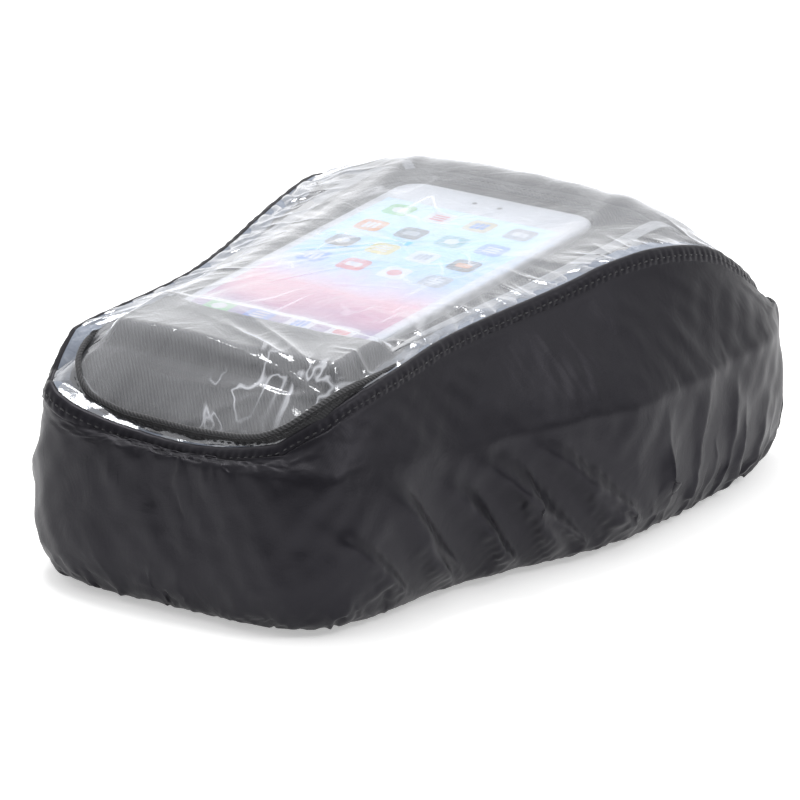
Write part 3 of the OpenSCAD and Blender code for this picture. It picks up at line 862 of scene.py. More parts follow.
def film_points():
    rim = cover_edge.grown(-0.6 * MM).at(film_angles)
    centre = np.array([0, 0.01])
    q = 1 - np.linspace(0, 1, RINGS) ** 1.15 * TO_MIDDLE
    xy = centre + q[None, :, None] * (rim - centre)[:, None, :]
    x, y = xy[..., 0], xy[..., 1]
    inset = np.linalg.norm(rim - centre, axis=1)[:, None] * (1 - q[None, :])
    z = top_z(x, y) + 2.1 * MM + hump(x, y) * smooth(inset, 0, 8 * MM)
    z += (seam_rise(rim[:, 0], rim[:, 1])[:, None] - 2.5 * MM) * np.exp(-inset / (18 * MM))
    z += 2.2 * MM * bell(y - crest["y"], 26 * MM) * smooth(inset, 4 * MM, 26 * MM)
    z = over_insert(x, y, z, 3.2 * MM)
    u = film_arc[:, None]
    pucker = ripples(u, inset, film_length, 31, 9, 34, 78, 0.6)
    pucker = np.sign(pucker) * np.abs(pucker) ** 0.7
    z += 0.5 * MM * pucker * np.exp(-inset / (9 * MM)) * smooth(inset, 0, 2.5 * MM)
    slack = ripples(u, inset, film_length, 33, 8, 10, 26, 0.5)
    z += 0.5 * MM * slack * np.exp(-inset / (26 * MM)) * smooth(inset, 0, 5 * MM)
    inner = smooth(inset, 1 * MM, 7 * MM)
    z += film_creases(x, y) * inner
    z += 0.3 * MM * np.sin(x / 0.017 + 1.3 * np.sin(y / 0.021)) * np.cos(y / 0.019 + x / 0.035) * inner
    return np.stack([x, y, z], -1)


film = film_points()
film_obj = sheet_mesh("clear_window", film, film[..., :2])
finish_piece(film_obj, "rain_cover", "film", ("cover_window",))

EDGE_AROUND = 1440
STITCH_PITCH = 2.7 * MM
edge_angles, _ = even_angles(cover_edge, EDGE_AROUND)
edge_out = outward(edge_angles, cover_edge)
edge_run = np.arange(EDGE_AROUND) / EDGE_AROUND * film_length


def along_edge(profile, wobble=0.0, seed=1):
    """A band swept round the window's seam; profile holds millimetres (outwards, up) from the seam line."""
    p = cover_edge.at(edge_angles)
    base = np.column_stack([p, top_z(p[:, 0], p[:, 1]) + seam_rise(p[:, 0], p[:, 1]) - 2.5 * MM])
    rows = []
    for k, (dx, dz) in enumerate(np.array(profile) * MM):
        shake = wobble * ripples(edge_run, k * 0.004, film_length, seed, 10, 30, 120, 3)
        rows.append(base + edge_out * (dx + shake)[:, None] + UP * (dz + shake * 0.6)[:, None])
    return np.stack(rows, 1)


# the folded hem, drawn in a little at each stitch
HEM_PROFILE = [
    (-1.7, 1.9), (-1.7, 2.35), (-1.2, 2.65), (-0.4, 2.65), (0.35, 2.2), (0.9, 1.3), (1.3, 0.3), (1.6, -0.8),
    (1.85, -1.9), (1.95, -2.7), (1.7, -3.1), (1.2, -3.0),
]
hem_steps = np.arange(len(HEM_PROFILE))
band = along_edge(HEM_PROFILE, 0.10 * MM, 51)
pull = 0.16 * MM * np.cos(TAU * edge_run / STITCH_PITCH)
band += edge_out[:, None, :] * pull[:, None, None] * bell(hem_steps - 6.5, 1.6)[None, :, None]
band_obj = sheet_mesh("edge_band", band, uv_grid(edge_run, hem_steps * MM), flip=True)
finish_piece(band_obj, "rain_cover", "nylon", ("cover_edge_hem",))
stitch_line = along_edge([(1.46, -0.25)])[:, 0]
stitches("edge_stitches", stitch_line, edge_out + 0.35 * UP, STITCH_PITCH, "rain_cover", 0.22 * MM)

# the tape lies inside the seam, and wrinkles with the film
TAPE_PROFILE = [(-1.6, 2.45), (-2.6, 2.5), (-3.8, 2.45), (-5.0, 2.4), (-6.2, 2.35), (-7.4, 2.3)]
tape = along_edge(TAPE_PROFILE)
tape_edge = 0.5 * MM * ripples(edge_run, 0, film_length, 67, 10, 12, 60)
for k in range(1, len(TAPE_PROFILE)):
    share = k / (len(TAPE_PROFILE) - 1)
    tape[:, k, 2] += 0.3 * MM * ripples(edge_run, k * 0.003, film_length, 63, 12, 40, 130, 2.0) * share
    tape[:, k] += edge_out * (tape_edge * share)[:, None]
tape_obj = sheet_mesh("window_seam_tape", tape, uv_grid(edge_run, np.arange(len(TAPE_PROFILE)) * 1.2 * MM))
finish_piece(tape_obj, "rain_cover", "tape", ("cover_seam_tape",))

TUBE_SIDES = 10


def tube(centre, out, radius, squash=1.0):
    """Points round a closed line of centres; radius is one value, or one for each centre."""
    turns = np.linspace(0, TAU, TUBE_SIDES, endpoint=False)
    radius = np.broadcast_to(radius, len(centre))[:, None]
    level, upright = radius * np.cos(turns), radius * np.sin(turns) * squash
    return centre[:, None, :] + out[:, None, :] * level[..., None] + UP * upright[..., None]


# elastic in the hem: a ruched cord of cloth, pressed flat where the release strap slides out under it
hem_line, hem_out = skirt[:, -1], outward(angles, cover_in)
pressed = smooth(-hem_line[:, 1], 90 * MM, 100 * MM) * bell(hem_line[:, 0], 20 * MM)
ruched = 1.1 * MM * (1 + 0.25 * np.sin(TAU * arc / (3.1 * MM))) * (1 - 0.75 * pressed)
elastic = tube(hem_line + 1.2 * MM * UP + hem_out * (0.3 * MM * pressed)[:, None], hem_out, ruched, 0.75)
elastic_obj = sheet_mesh("hem_elastic", elastic, uv_grid(arc, np.arange(TUBE_SIDES) * 0.9 * MM), wrap_m=True)
finish_piece(elastic_obj, "rain_cover", "elastic", ("cover_hem_elastic",))

# ---------------------------------------------------------------- lid

pocket_low, pocket_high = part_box("pocket_window")
pocket_y = (pocket_low.y + pocket_high.y) / 2
view_half = np.array((pocket_high - pocket_low)[:2]) / 2 + np.array([1, -3]) * MM
LID_AROUND, LID_ROWS = 720, 60


def opening(a, grow=0.0):
    """The pocket's clear opening, a rectangle with round corners, at polar angles."""
    c, s = np.cos(a), np.sin(a)
    hx, hy = view_half + grow
    k = ((np.abs(c) / hx) ** 7 + (np.abs(s) / hy) ** 7) ** (-1 / 7)
    return np.column_stack([k * c, pocket_y + k * s])


def on_lid(x, y):
    """Height of the lid's cloth where nothing pulls at it."""
    return top_z(x, y) + hump(x, y) - 0.3 * MM


def lid_top_points():
    rim = lid_edge.at(np.linspace(0, TAU, LID_AROUND, endpoint=False))
    mouth = opening(np.arctan2(rim[:, 1] - pocket_y, rim[:, 0]))
    q = np.linspace(0, 1, LID_ROWS)[None, :, None]
    xy = mouth[:, None, :] * (1 - q) + rim[:, None, :] * q
    x, y = xy[..., 0], xy[..., 1]
    inset = np.linalg.norm(xy - mouth[:, None, :], axis=-1)
    out = np.linalg.norm(rim[:, None, :] - xy, axis=-1)
    z = on_lid(x, y)
    sunk = np.minimum(seam_rise(rim[:, 0], rim[:, 1]) - 2.2 * MM, 0)[:, None]
    z += sunk * np.exp(-out / (22 * MM)) * smooth(inset, 0, 8 * MM)
    z = over_insert(x, y, z, 1.8 * MM)
    z -= 0.9 * MM * np.exp(-inset / (1.2 * MM))
    z -= 0.5 * MM * bell(inset - 3.0 * MM, 0.8 * MM)
    z -= 2.2 * MM * np.exp(-out / (2.0 * MM))
    sway = np.sin(x / 0.011 + 2 * np.sin(y / 0.02)) * np.cos(y / 0.013)
    z += 0.35 * MM * sway * smooth(inset, 2 * MM, 9 * MM)
    return np.stack([x, y, z], -1)


lid_top = lid_top_points()
lid_obj = sheet_mesh("lid_top", lid_top, lid_top[..., :2], flip=True)
thicken(lid_obj, 0.8 * MM)
finish_piece(lid_obj, "lid", "twill", ("lid_top_panel",))
mouth_line = opening(np.linspace(0, TAU, LID_AROUND, endpoint=False), 3.0 * MM)
mouth_z = on_lid(*mouth_line.T) - 0.4 * MM
stitches("pocket_stitches", np.column_stack([mouth_line, mouth_z]), UP, 2.4 * MM, "lid", 0.2 * MM)


def flat_panel(name, low, high, lift, nx, ny, waves=0.0, seed=1, power=None):
    """A level-ish sheet over the pocket, on the lid's slope; a power rounds its corners off."""
    gx, gy = np.meshgrid(np.linspace(low[0], high[0], nx), np.linspace(low[1], high[1], ny), indexing="ij")
    if power:
        hx, hy = (high[0] - low[0]) / 2, (high[1] - low[1]) / 2
        cx, cy = (high[0] + low[0]) / 2, (high[1] + low[1]) / 2
        dx, dy = (gx - cx) / hx, (gy - cy) / hy
        m = np.maximum(np.abs(dx), np.abs(dy)) + 1e-12
        squeeze = m / (np.abs(dx) ** power + np.abs(dy) ** power + 1e-12) ** (1 / power)
        gx, gy = cx + dx * squeeze * hx, cy + dy * squeeze * hy
    r = np.random.default_rng(seed)
    z = lid_z + lid_slope * gy + lift
    for _ in range(6):
        d = r.uniform(0, TAU)
        along = (gx * math.cos(d) + gy * math.sin(d)) * TAU
        z = z + waves * np.sin(along / r.uniform(0.02, 0.06) + r.uniform(0, TAU))
    uv = np.stack([(gx - low[0]) / (high[0] - low[0]), (gy - low[1]) / (high[1] - low[1])], -1)
    return sheet_mesh(name, np.stack([gx, gy, z], -1), uv, wrap_n=False)


hemmed = Vector((0.5 * MM, 0.5 * MM, 0))
pocket_obj = flat_panel("pocket_film", pocket_low + hemmed, pocket_high - hemmed, INSERT_TOP + 0.45 * MM,
                        60, 110, 0.05 * MM, 5, 12)
finish_piece(pocket_obj, "lid", "pocket_film", ("pocket_window",))

# ---------------------------------------------------------------- the phone-shaped insert and its picture

insert_low, insert_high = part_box("phone_insert")
insert_middle = np.array([0, (insert_low.y + insert_high.y) / 2])
insert_half = np.array([insert_high.x, (insert_high.y - insert_low.y) / 2])


def round_rectangle(half, corner, n):
    """4n points round a rectangle with round corners, about its middle."""
    a = np.linspace(0, TAU, 4 * n, endpoint=False) + math.pi / 4 / n
    quarter = np.floor(a / (math.pi / 2)).astype(int) % 4
    centre = np.array([(1, 1), (-1, 1), (-1, -1), (1, -1)])[quarter] * (half - corner)
    return centre + corner * np.column_stack([np.cos(a), np.sin(a)])


def insert_ring(shrink, z):
    xy = round_rectangle(insert_half - shrink, CORNER - shrink, 14) + insert_middle
    return np.column_stack([xy, lid_z + lid_slope * xy[:, 1] + INSERT_TOP + z])


edge = 1.7 * MM
bows = np.linspace(0, math.pi / 2, 6)
rings = [insert_ring(6 * MM, -INSERT_T)]
rings += [insert_ring(edge * (1 - math.sin(b)), -INSERT_T + edge * (1 - math.cos(b))) for b in bows]
rings += [insert_ring(edge * (1 - math.cos(b)), -edge * (1 - math.sin(b))) for b in bows]
rings += [insert_ring(shrink, 0) for shrink in (3 * MM, 9 * MM)]
rings = np.stack(rings, 1)
around_insert, ring_count = rings.shape[:2]
insert_faces = [tuple(f) for f in grid_faces(around_insert, ring_count)]
insert_faces.append(tuple(i * ring_count + ring_count - 1 for i in range(around_insert)))
insert_faces.append(tuple(i * ring_count for i in range(around_insert))[::-1])
insert_obj = mesh("insert_body", rings.reshape(-1, 3), insert_faces)
finish_piece(insert_obj, "lid", "insert", ("phone_insert",))

PICTURE_END = -66.6 * MM
screen_low, screen_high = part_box("phone_screen")
screen_low.y = PICTURE_END
screen_obj = flat_panel("insert_picture", screen_low, screen_high, INSERT_TOP + 0.06 * MM, 12, 20)
finish_piece(screen_obj, "lid", "picture", ("phone_screen",))


def on_insert(name, shapes, lift, material):
    """Flat shapes on the insert's face, each a closed line of (x, y)."""
    points, faces = [], []
    for shape in shapes:
        faces.append(tuple(range(len(points), len(points) + len(shape))))
        points += [(x, y, lid_z + lid_slope * y + INSERT_TOP + lift) for x, y in shape]
    finish_piece(mesh(name, points, faces, smooth_shade=False), "lid", material)


def superellipse(x, y, rx, ry, power=5, n=32):
    a = np.linspace(0, TAU, n, endpoint=False)
    c, s = np.cos(a), np.sin(a)
    return np.column_stack([
        x + rx * np.sign(c) * np.abs(c) ** (2 / power), y + ry * np.sign(s) * np.abs(s) ** (2 / power)
    ])


COLUMN, ROW, FIRST_ROW, DOCK_ROW, ICON = 16.0 * MM, 16.6 * MM, 39.9 * MM, 6.2, 5.0 * MM
ICON_COLORS = {
    "green": (0.10, 0.62, 0.18), "white": (0.86, 0.87, 0.88), "grey": (0.42, 0.45, 0.48),
    "blue": (0.05, 0.30, 0.80), "orange": (0.85, 0.32, 0.05), "dark": (0.02, 0.02, 0.025),
    "sand": (0.75, 0.66, 0.42), "yellow": (0.85, 0.70, 0.18), "red": (0.78, 0.05, 0.10),
    "teal": (0.05, 0.45, 0.50),
}
# rows from the top, with the dock last: the icons' colours, then the marks' colours
ICON_GRID = [
    ("green white sand grey", "white red blue white"),
    ("orange dark teal blue", "white grey white white"),
    ("dark yellow white dark", "white white grey orange"),
    ("blue red white grey", "white white red white"),
    ("green blue white white", "white white blue red"),
]


def icon_mark(kind, x, y):
    """A plain mark on an icon: a disc, three bars, three strokes or a rounded block."""
    if kind == 0:
        return [superellipse(x, y, 2.6 * MM, 2.6 * MM, 2)]
    if kind == 1:
        return [superellipse(x, y + d * 1.9 * MM, 2.8 * MM, 0.55 * MM, 8) for d in (-1, 0, 1)]
    if kind == 2:
        return [superellipse(x + d * 1.8 * MM, y + 0.3 * d * MM, 0.7 * MM, 2.7 * MM, 6) for d in (-1, 0, 1)]
    return [superellipse(x, y, 2.9 * MM, 1.9 * MM, 4)]


icons, icon_marks = {}, {}
for k, (colors, mark_colors) in enumerate(ICON_GRID):
    y = FIRST_ROW - ROW * (k if k < 4 else DOCK_ROW)
    for j, (color, mark) in enumerate(zip(colors.split(), mark_colors.split())):
        x = (j - 1.5) * COLUMN
        icons.setdefault(color, []).append(superellipse(x, y, ICON, ICON))
        icon_marks.setdefault(mark, []).extend(icon_mark((j + 2 * k) % 4, x, y))
for color, value in ICON_COLORS.items():
    MATERIALS["icon_" + color] = hard("icon_" + color, value, 0.3, grain=60.0, bumpy=0.0)
for color, shapes in icons.items():
    on_insert("icons_" + color, shapes, 0.10 * MM, "icon_" + color)
for color, shapes in icon_marks.items():
    on_insert("icon_marks_" + color, shapes, 0.14 * MM, "icon_" + color)
dot_y = (screen_high.y + insert_high.y) / 2
dots = [superellipse(x, dot_y, 0.9 * MM, 0.9 * MM, 2) for x in (-6 * MM, 4 * MM)]
on_insert("insert_dots", dots, 0.05 * MM, "icon_dark")

# ---------------------------------------------------------------- pale trims on the lid


def ribbon(name, line, width, lift, replaces=()):
    """A flat tape along a line of (x, y) on the lid, with a slight crown and turned-down edges."""
    line = np.asarray(line)
    tangent = np.gradient(line, axis=0)
    tangent /= np.linalg.norm(tangent, axis=1)[:, None]
    side = np.column_stack([-tangent[:, 1], tangent[:, 0]])
    across = np.array([-1, -0.97, -0.8, -0.4, 0, 0.4, 0.8, 0.97, 1])
    crown = np.array([-0.5, 0.1, 0.55, 0.9, 1, 0.9, 0.55, 0.1, -0.5]) * 0.25 * MM
    width = np.broadcast_to(width, len(line))[:, None]
    xy = line[:, None, :] + side[:, None, :] * (across[None, :] * width / 2)[..., None]
    uv = np.stack(np.broadcast_arrays(run_along(line)[:, None], across[None, :] * width / 2), -1)
    z = on_lid(xy[..., 0], xy[..., 1]) + lift + crown * np.minimum(width / (2 * MM), 1)
    obj = sheet_mesh(name, np.concatenate([xy, z[..., None]], -1), uv, wrap_n=False, flip=True)
    thicken(obj, 0.25 * MM)
    finish_piece(obj, "lid", "trim", replaces)


TRIM_W, TRIM_X, LEG_Y = 4 * MM, 55 * MM, 57 * MM
for side, word in SIDES:
    low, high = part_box("trim_" + word)
    y = np.linspace(low.y + 1 * MM, high.y - 1 * MM, 160)
    line = np.column_stack([side * (TRIM_X - 10 * MM * (1 - smooth(y, low.y, LEG_Y))), y])
    narrowing = TRIM_W * (0.25 + 0.9 * smooth(y, low.y, 10 * MM))
    ribbon("trim_tape_" + word, line, narrowing, 0.35 * MM, ("trim_" + word,))
    far = max(high.x, -low.x) - 1.2 * MM
    t = np.linspace(0, 1, 24)
    leg = np.column_stack([side * (TRIM_X + (far - TRIM_X) * t), LEG_Y - 7 * MM * t ** 1.4])
    ribbon("trim_leg_" + word, leg, TRIM_W, 0.5 * MM)
    for shift in (-1.45, 1.45):
        stitched = line[60:] + np.array([shift * MM, 0])
        stitched = np.column_stack([stitched, on_lid(*stitched.T) + 0.55 * MM])
        name = f"trim_stitches_{word}_{'in' if shift * side < 0 else 'out'}"
        stitches(name, stitched, UP, 2.6 * MM, "lid", 0.16 * MM, closed=False)

# ---------------------------------------------------------------- lid side, zip, tray: under the cover


def through(rows, a, t):
    """Points at t, from 0 to 1, down the smooth surface through rows of (outline, height, from_top)."""
    return spline(np.stack([on_outline(o, a, z, on_top) for o, z, on_top in rows]), t)


def hoop(name, rows, count, body, material, replaces, thickness, flip=False, shape=None, steps=40):
    """A closed band of cloth through rows of (outline, height, from_top). Gives its points and angles."""
    a, length = even_angles(rows[0][0], count)
    t = np.linspace(0, 1, steps)
    base = through(rows, a, t)
    run = np.arange(count) / count * length
    uv = uv_grid(run, run_along(base[0]))
    if shape is not None:
        base += outward(a, rows[0][0])[:, None, :] * shape(run[:, None], t[None, :], length)[..., None]
    obj = sheet_mesh(name, base, uv, flip=flip)
    thicken(obj, thickness)
    finish_piece(obj, body, material, (replaces,))
    return base, a


def seam_row(name, line, out, pitch, body, lift):
    stitches(name, line + out * lift, out, pitch, body, 0.2 * MM)


def cord_ring(name, centre, out, radius, body, material):
    """Piping: a covered cord along a closed line."""
    turns = np.linspace(0, TAU, TUBE_SIDES, endpoint=False)
    uv = uv_grid(run_along(centre), turns * radius)
    finish_piece(sheet_mesh(name, tube(centre, out, radius), uv, wrap_m=True), body, material)


def padded_side(u, t, length):
    """Foam behind cloth, pulled in at both seams, with small puckers there."""
    fill = 1.0 * MM * np.sin(math.pi * t) ** 0.6
    at_seams = np.exp(-t / 0.12) + np.exp(-(1 - t) / 0.12)
    puckers = 0.16 * MM * ripples(u, t * 0.02, length, 71, 10, 60, 150, 0.5) * at_seams
    slack = 0.35 * MM * ripples(u, t * 0.05, length, 73, 8, 6, 26, 1.0) * np.sin(math.pi * t)
    return fill + puckers + slack


def lid_shape(u, t, length):
    return padded_side(u, t, length) * 0.6


def tray_shape(u, t, length):
    """The tray's side has a groove where it is sewn to its base."""
    return padded_side(u, np.clip(t / 0.93, 0, 1), length) * 0.7 - 0.9 * MM * bell(t - 0.80, 0.02)


SEAM_PITCH = 2.8 * MM
wall_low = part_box("tray_wall")[0].z
lid_rows = [
    (zip_line, zip_z + 1.4 * MM, False), (lid_edge.moved(1.2 * MM, 3 * MM, 3.6 * MM), -13 * MM, True),
    (lid_edge, -2.2 * MM, True),
]
side_base, side_angles = hoop("lid_side", lid_rows, 900, "lid", "bag_fabric", "lid_wall", 0.8 * MM,
                              shape=lid_shape)
side_out = outward(side_angles, lid_edge)
seam_row("lid_side_stitches_low", side_base[:, 5], side_out, SEAM_PITCH, "lid", 0.45 * MM)
seam_row("lid_side_stitches_high", side_base[:, 36], side_out, SEAM_PITCH, "lid", 0.4 * MM)
piping_line = on_outline(lid_edge, side_angles, -2.1 * MM, True)
cord_ring("lid_piping", piping_line, side_out, 0.9 * MM, "lid", "twill")

tray_rows = [
    (zip_line, zip_z - 1.4 * MM, False), (zip_line.grown(-0.6 * MM), 36 * MM, False),
    (zip_line.grown(-3.6 * MM), 22 * MM, False), (base_line.grown(0.4 * MM), wall_low + 3 * MM, False),
    (base_line.grown(-3 * MM), wall_low + 0.2 * MM, False),
]
tray_base, tray_angles = hoop("tray_side", tray_rows, 900, "bag", "bag_fabric", "tray_wall", 0.8 * MM, True,
                              tray_shape)
tray_out = outward(tray_angles, zip_line)
seam_row("tray_stitches_high", tray_base[:, 4], tray_out, SEAM_PITCH, "bag", 0.4 * MM)
seam_row("tray_stitches_low", tray_base[:, 30], tray_out, SEAM_PITCH, "bag", 0.35 * MM)

# one zip tooth: a block with narrower ends, with its rows of corners from bottom to top
TOOTH_HALF = np.array([0.62, 1.0, 0.72]) * MM
TOOTH_ROWS = [(-1, 0.7), (-0.4, 1), (0.4, 1), (1, 0.7)]
CORNERS = [(-1, -1), (1, -1), (1, 1), (-1, 1)]
tooth = [(x * wide, y, z) * TOOTH_HALF for z, wide in TOOTH_ROWS for x, y in CORNERS]
tooth_faces = [
    (k + i, k + (i + 1) % 4, k + 4 + (i + 1) % 4, k + 4 + i) for k in (0, 4, 8) for i in range(4)
]
tooth_faces += [(3, 2, 1, 0), (12, 13, 14, 15)]

# the zip's cloth tapes, and teeth that stand on their edges
lean = zip_line.grown(0.9 * MM)
teeth_line = zip_line.grown(0.5 * MM)
ZIP_HALVES = {
    "lower": ("bag", lean, -8.0 * MM, -1.0 * MM, 1, -0.75 * MM),
    "upper": ("lid", lean.moved(0, -2.6 * MM, 0), 1.0 * MM, 4.6 * MM, 4, 0.75 * MM),
}
for word, (body, top_line, low, high, stitch_row, tooth_z) in ZIP_HALVES.items():
    rows = [(lean, zip_z + low, False), (top_line, zip_z + high, False)]
    tape_base, tape_angles = hoop(f"zip_tape_{word}_cloth", rows, 700, body, "zip_tape", "zip_tape_" + word,
                                  0.4 * MM, steps=6)
    tape_out = outward(tape_angles, zip_line)
    seam_row("zip_tape_stitches_" + word, tape_base[:, stitch_row], tape_out, 2.6 * MM, body, 0.35 * MM)
    tooth_angles, _ = even_angles(teeth_line, 350)
    tooth_at = on_outline(teeth_line, tooth_angles, zip_z + tooth_z, False)
    ahead = np.cross(UP, outward(tooth_angles, zip_line))
    places = [(centre, along, UP, 1.0) for centre, along in zip(tooth_at, ahead)]
    teeth = copies("zip_teeth_" + word, tooth, tooth_faces, places)
    finish_piece(teeth, body, "coil", ("zip_coil_" + word,))

LINING_AROUND, LINING_SIDE, LINING_ACROSS = 640, 26, 71


def bowl(name, rows, body, replaces, flip, quilt, seed):
    """A lining: down or up the side, then across with soft quilting. Gives its side's points and angles."""
    a, length = even_angles(rows[0][0], LINING_AROUND)
    side = through(rows, a, np.linspace(0, 1, LINING_SIDE))
    run = np.arange(LINING_AROUND) / LINING_AROUND * length
    slack = ripples(run[:, None], np.linspace(0, 0.04, LINING_SIDE)[None, :], length, seed, 10, 8, 50, 1)
    side += outward(a, rows[0][0])[:, None, :] * (0.4 * MM * slack)[..., None]
    outline, z, on_top = rows[-1]
    q = 1 - np.linspace(0, 1, LINING_ACROSS)[1:] * TO_MIDDLE
    xy = outline.at(a)[:, None, :] * q[None, :, None]
    x, y = xy[..., 0], xy[..., 1]
    level = np.full(x.shape, z)
    if on_top:
        half_crest = crest["h"] * bell(y - crest["y"], crest["reach"]) * (1 - (x / crest["half"]) ** 2) * 0.4
        level = top_z(x, y) - half_crest + z
    cell = 24 * MM
    puff = np.abs(np.sin(math.pi * (x + y) / cell) * np.sin(math.pi * (x - y) / cell)) ** 0.5
    level = level + quilt * puff * smooth(1 - q, 0.0, 0.06)[None, :]
    points = np.concatenate([side, np.concatenate([xy, level[..., None]], -1)], 1)
    uv = uv_grid(run, run_along(points[0]))
    uv[:, LINING_SIDE:] = points[:, LINING_SIDE:, :2]
    finish_piece(sheet_mesh(name, points, uv, flip=flip), body, "lining", (replaces,))
    return side, a


tray_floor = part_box("tray_lining")[0].z + 1 * MM
inner = zip_line.grown(-3.6 * MM)
tray_lining_rows = [
    (inner, zip_z - 1.5 * MM, False), (inner.grown(-1 * MM), 34 * MM, False),
    (base_line.grown(-3.4 * MM), tray_floor + 3 * MM, False),
    (base_line.grown(-6 * MM), tray_floor + 0.4 * MM, False),
]
lid_lining_rows = [
    (inner, zip_z + 1.6 * MM, False), (lid_edge.grown(-5 * MM), -20 * MM, True),
    (lid_edge.moved(-12 * MM, -6 * MM, -8 * MM), -16.4 * MM, True),
]
tray_cloth = bowl("tray_lining_cloth", tray_lining_rows, "bag", "tray_lining", True, 1.0 * MM, 81)
lid_cloth = bowl("lid_lining_cloth", lid_lining_rows, "lid", "lid_liner", False, -1.2 * MM, 83)
LININGS = [("tray", "bag", -0.6 * MM, *tray_cloth), ("lid", "lid", 0.6 * MM, *lid_cloth)]
for word, body, rim_z, side, a in LININGS:
    out = outward(a, inner)
    seam_row(word + "_lining_stitches", side[:, 3], -out, 3.0 * MM, body, 0.3 * MM)
    cord_ring(word + "_rim_binding", side[:, 0] + UP * rim_z + out * 1.2 * MM, out, 1.5 * MM, body, "webbing")

# webbing handle, folded against the handlebar end
handle_low, handle_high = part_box("carry_handle")
handle_z = (handle_low.z + handle_high.z) / 2
t = np.linspace(-1, 1, 121)
across = np.linspace(-1, 1, 13)
handle_x = t * (handle_high.x - 0.5 * MM)
handle_y = handle_high.y - 1.6 * MM + 1.0 * MM * (1 - t ** 6) + 0.5 * MM * np.cos(t * 5)
sag = 1.2 * MM * np.cos(t * math.pi / 2)
handle = np.stack(np.broadcast_arrays(
    handle_x[:, None], handle_y[:, None] - 0.25 * MM * across[None, :] ** 2,
    handle_z + 1 * MM + across[None, :] * 6 * MM - sag[:, None]), -1)
handle_obj = sheet_mesh("handle_strap", handle, uv_grid(handle_x, across * 6 * MM), wrap_n=False, flip=True)
thicken(handle_obj, 1.4 * MM, 1.0)
finish_piece(handle_obj, "bag", "webbing", ("carry_handle",))
# each bar tack runs round a small box and across it both ways, in millimetres
TACK = [(-5, -4), (5, -4), (5, 4), (-5, 4), (-5, -4), (5, 4), (5, -4), (-5, 4)]
tack = np.concatenate([np.linspace(start, end, 9)[:-1] for start, end in zip(TACK, TACK[1:])]) * MM
for side, word in SIDES:
    middle = np.array([side * (handle_high.x - 8 * MM), handle_high.y + 0.1 * MM, handle_z])
    path = middle + np.column_stack([tack[:, 0], np.zeros(len(tack)), tack[:, 1]])
    stitches("handle_bar_tack_" + word, path, (0, 1.0, 0), 2.0 * MM, "bag", 0.2 * MM, closed=False)

# cloth hinge between lid and tray
hinge_low, hinge_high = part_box("hinge_binding")
hinge_x = np.linspace(hinge_low.x, hinge_high.x, 90)
gx, gz = np.meshgrid(hinge_x, np.linspace(hinge_low.z, hinge_high.z, 12), indexing="ij")
bow = np.sin((gz - hinge_low.z) / (hinge_high.z - hinge_low.z) * math.pi)
gy = hinge_low.y + 0.35 * MM + 0.3 * MM * bow + 0.08 * MM * np.sin(gx / 0.004)
hinge_obj = sheet_mesh("hinge_cloth", np.stack([gx, gy, gz], -1), np.stack([gx, gz], -1), wrap_n=False)
thicken(hinge_obj, 0.6 * MM, 0)
finish_piece(hinge_obj, "bag", "zip_tape", ("hinge_binding",))
for k, z in enumerate((hinge_low.z + 1 * MM, hinge_high.z - 1 * MM)):
    line = [(x, hinge_high.y + 0.15 * MM, z) for x in hinge_x]
    stitches(f"hinge_stitches_{k}", line, (0, 1.0, 0), 2.4 * MM, "bag", 0.18 * MM, closed=False)

# ---------------------------------------------------------------- hard and small parts: from the CAD

CAD_LOOKS = {
    "base_board": ("board", 0.4), "backing_plate": ("plate", 0.2), "ring_adapter": ("lock", 0.35),
    "ring_screws": ("steel", 0.15), "ring_latch": ("lock", 0.3), "base_pad": ("grip", 1.0),
    "zip_slider_left": ("slider", 0.25), "zip_slider_right": ("slider", 0.25),
    "zip_puller_left": ("slider", 0.25), "zip_puller_right": ("slider", 0.25),
    "release_strap": ("strap", 0.3), "cable_grommet": ("rubber", 0.4), "lid_foam": ("foam", 0.8),
}
for node, (key, width) in CAD_LOOKS.items():
    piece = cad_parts[node]
    paint(piece, key)
    soften(piece, width * MM)

# ---------------------------------------------------------------- declared soft pieces

# ---------------------------------------------------------------- floor, light, camera

floor = mesh("floor", [(-4, -4, 0), (4, -4, 0), (4, 4, 0), (-4, 4, 0)], [(0, 1, 2, 3)])
floor_look = Nodes("floor")
floor_look.look(Base_Color=rgb(0.9, 0.9, 0.9), Roughness=0.9, Specular_IOR_Level=0.1,
                Emission_Color=rgb(1, 1, 1), Emission_Strength=0.42)
floor.data.materials.append(floor_look.material)

bpy.context.scene.view_settings.view_transform = "Standard"
azimuth, elevation, distance = math.radians(34.4), math.radians(19.1), 2.6
level = math.cos(elevation)
back = Vector((math.sin(azimuth) * level, -math.cos(azimuth) * level, math.sin(elevation)))

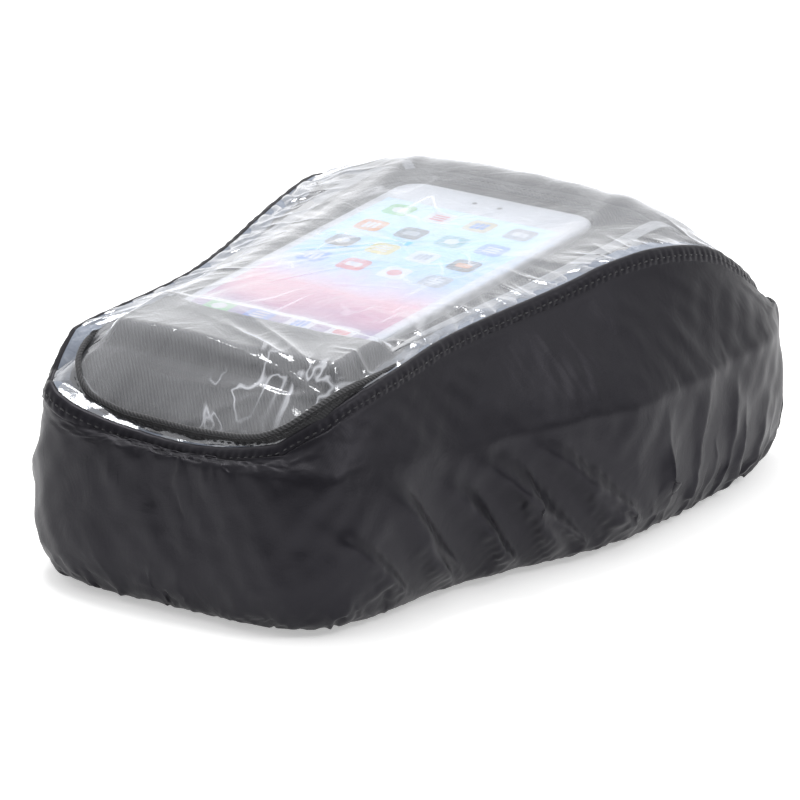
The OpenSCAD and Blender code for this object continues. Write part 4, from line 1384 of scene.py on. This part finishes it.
# a bright backdrop behind the bag, a dimmer room behind the camera
world = bpy.data.worlds.new("studio")
world.use_nodes = True
tree = world.node_tree
direction = tree.nodes.new("ShaderNodeTexCoord").outputs["Generated"]
facing = tree.nodes.new("ShaderNodeVectorMath")
facing.operation = "DOT_PRODUCT"
tree.links.new(direction, facing.inputs[0])
facing.inputs[1].default_value = (-0.7 * back.x, -0.7 * back.y, 0.75)
fall = tree.nodes.new("ShaderNodeMapRange")
fall.interpolation_type = "SMOOTHSTEP"
tree.links.new(facing.outputs["Value"], fall.inputs["Value"])
for socket, value in zip(("From Min", "From Max", "To Min", "To Max"), (-0.35, 0.6, 0.20, 1.08)):
    fall.inputs[socket].default_value = value
seen = tree.nodes.new("ShaderNodeMath")
seen.operation = "MAXIMUM"
tree.links.new(fall.outputs["Result"], seen.inputs[0])
tree.links.new(tree.nodes.new("ShaderNodeLightPath").outputs["Is Camera Ray"], seen.inputs[1])
tree.links.new(seen.outputs[0], tree.nodes["Background"].inputs["Strength"])
tree.nodes["Background"].inputs["Color"].default_value = rgb(1, 1, 1)
bpy.context.scene.world = world


def soft_light(name, place, aim, size, power):
    data = bpy.data.lights.new(name, "AREA")
    data.shape, data.size, data.energy = "DISK", size, power
    obj = bpy.data.objects.new(name, data)
    obj.location = place
    obj.rotation_euler = (Vector(aim) - Vector(place)).to_track_quat("-Z", "Y").to_euler()
    bpy.context.scene.collection.objects.link(obj)


soft_light("key_light", (1.3, 0.1, 1.2), (0, 0, 0.05), 0.5, 6)
soft_light("top_light", (-0.5, 0.3, 1.9), (0, 0, 0.05), 0.9, 22)

target = Vector((0, 5 * MM, 36 * MM))
camera_data = bpy.data.cameras.new("camera")
camera_data.lens, camera_data.sensor_width = 355.7, 36
camera = bpy.data.objects.new("camera", camera_data)
camera.location = target + distance * back
camera.rotation_euler = (-back).to_track_quat("-Z", "Y").to_euler()
camera_data.clip_start, camera_data.clip_end = 0.05, 20
bpy.context.scene.collection.objects.link(camera)
bpy.context.scene.camera = camera
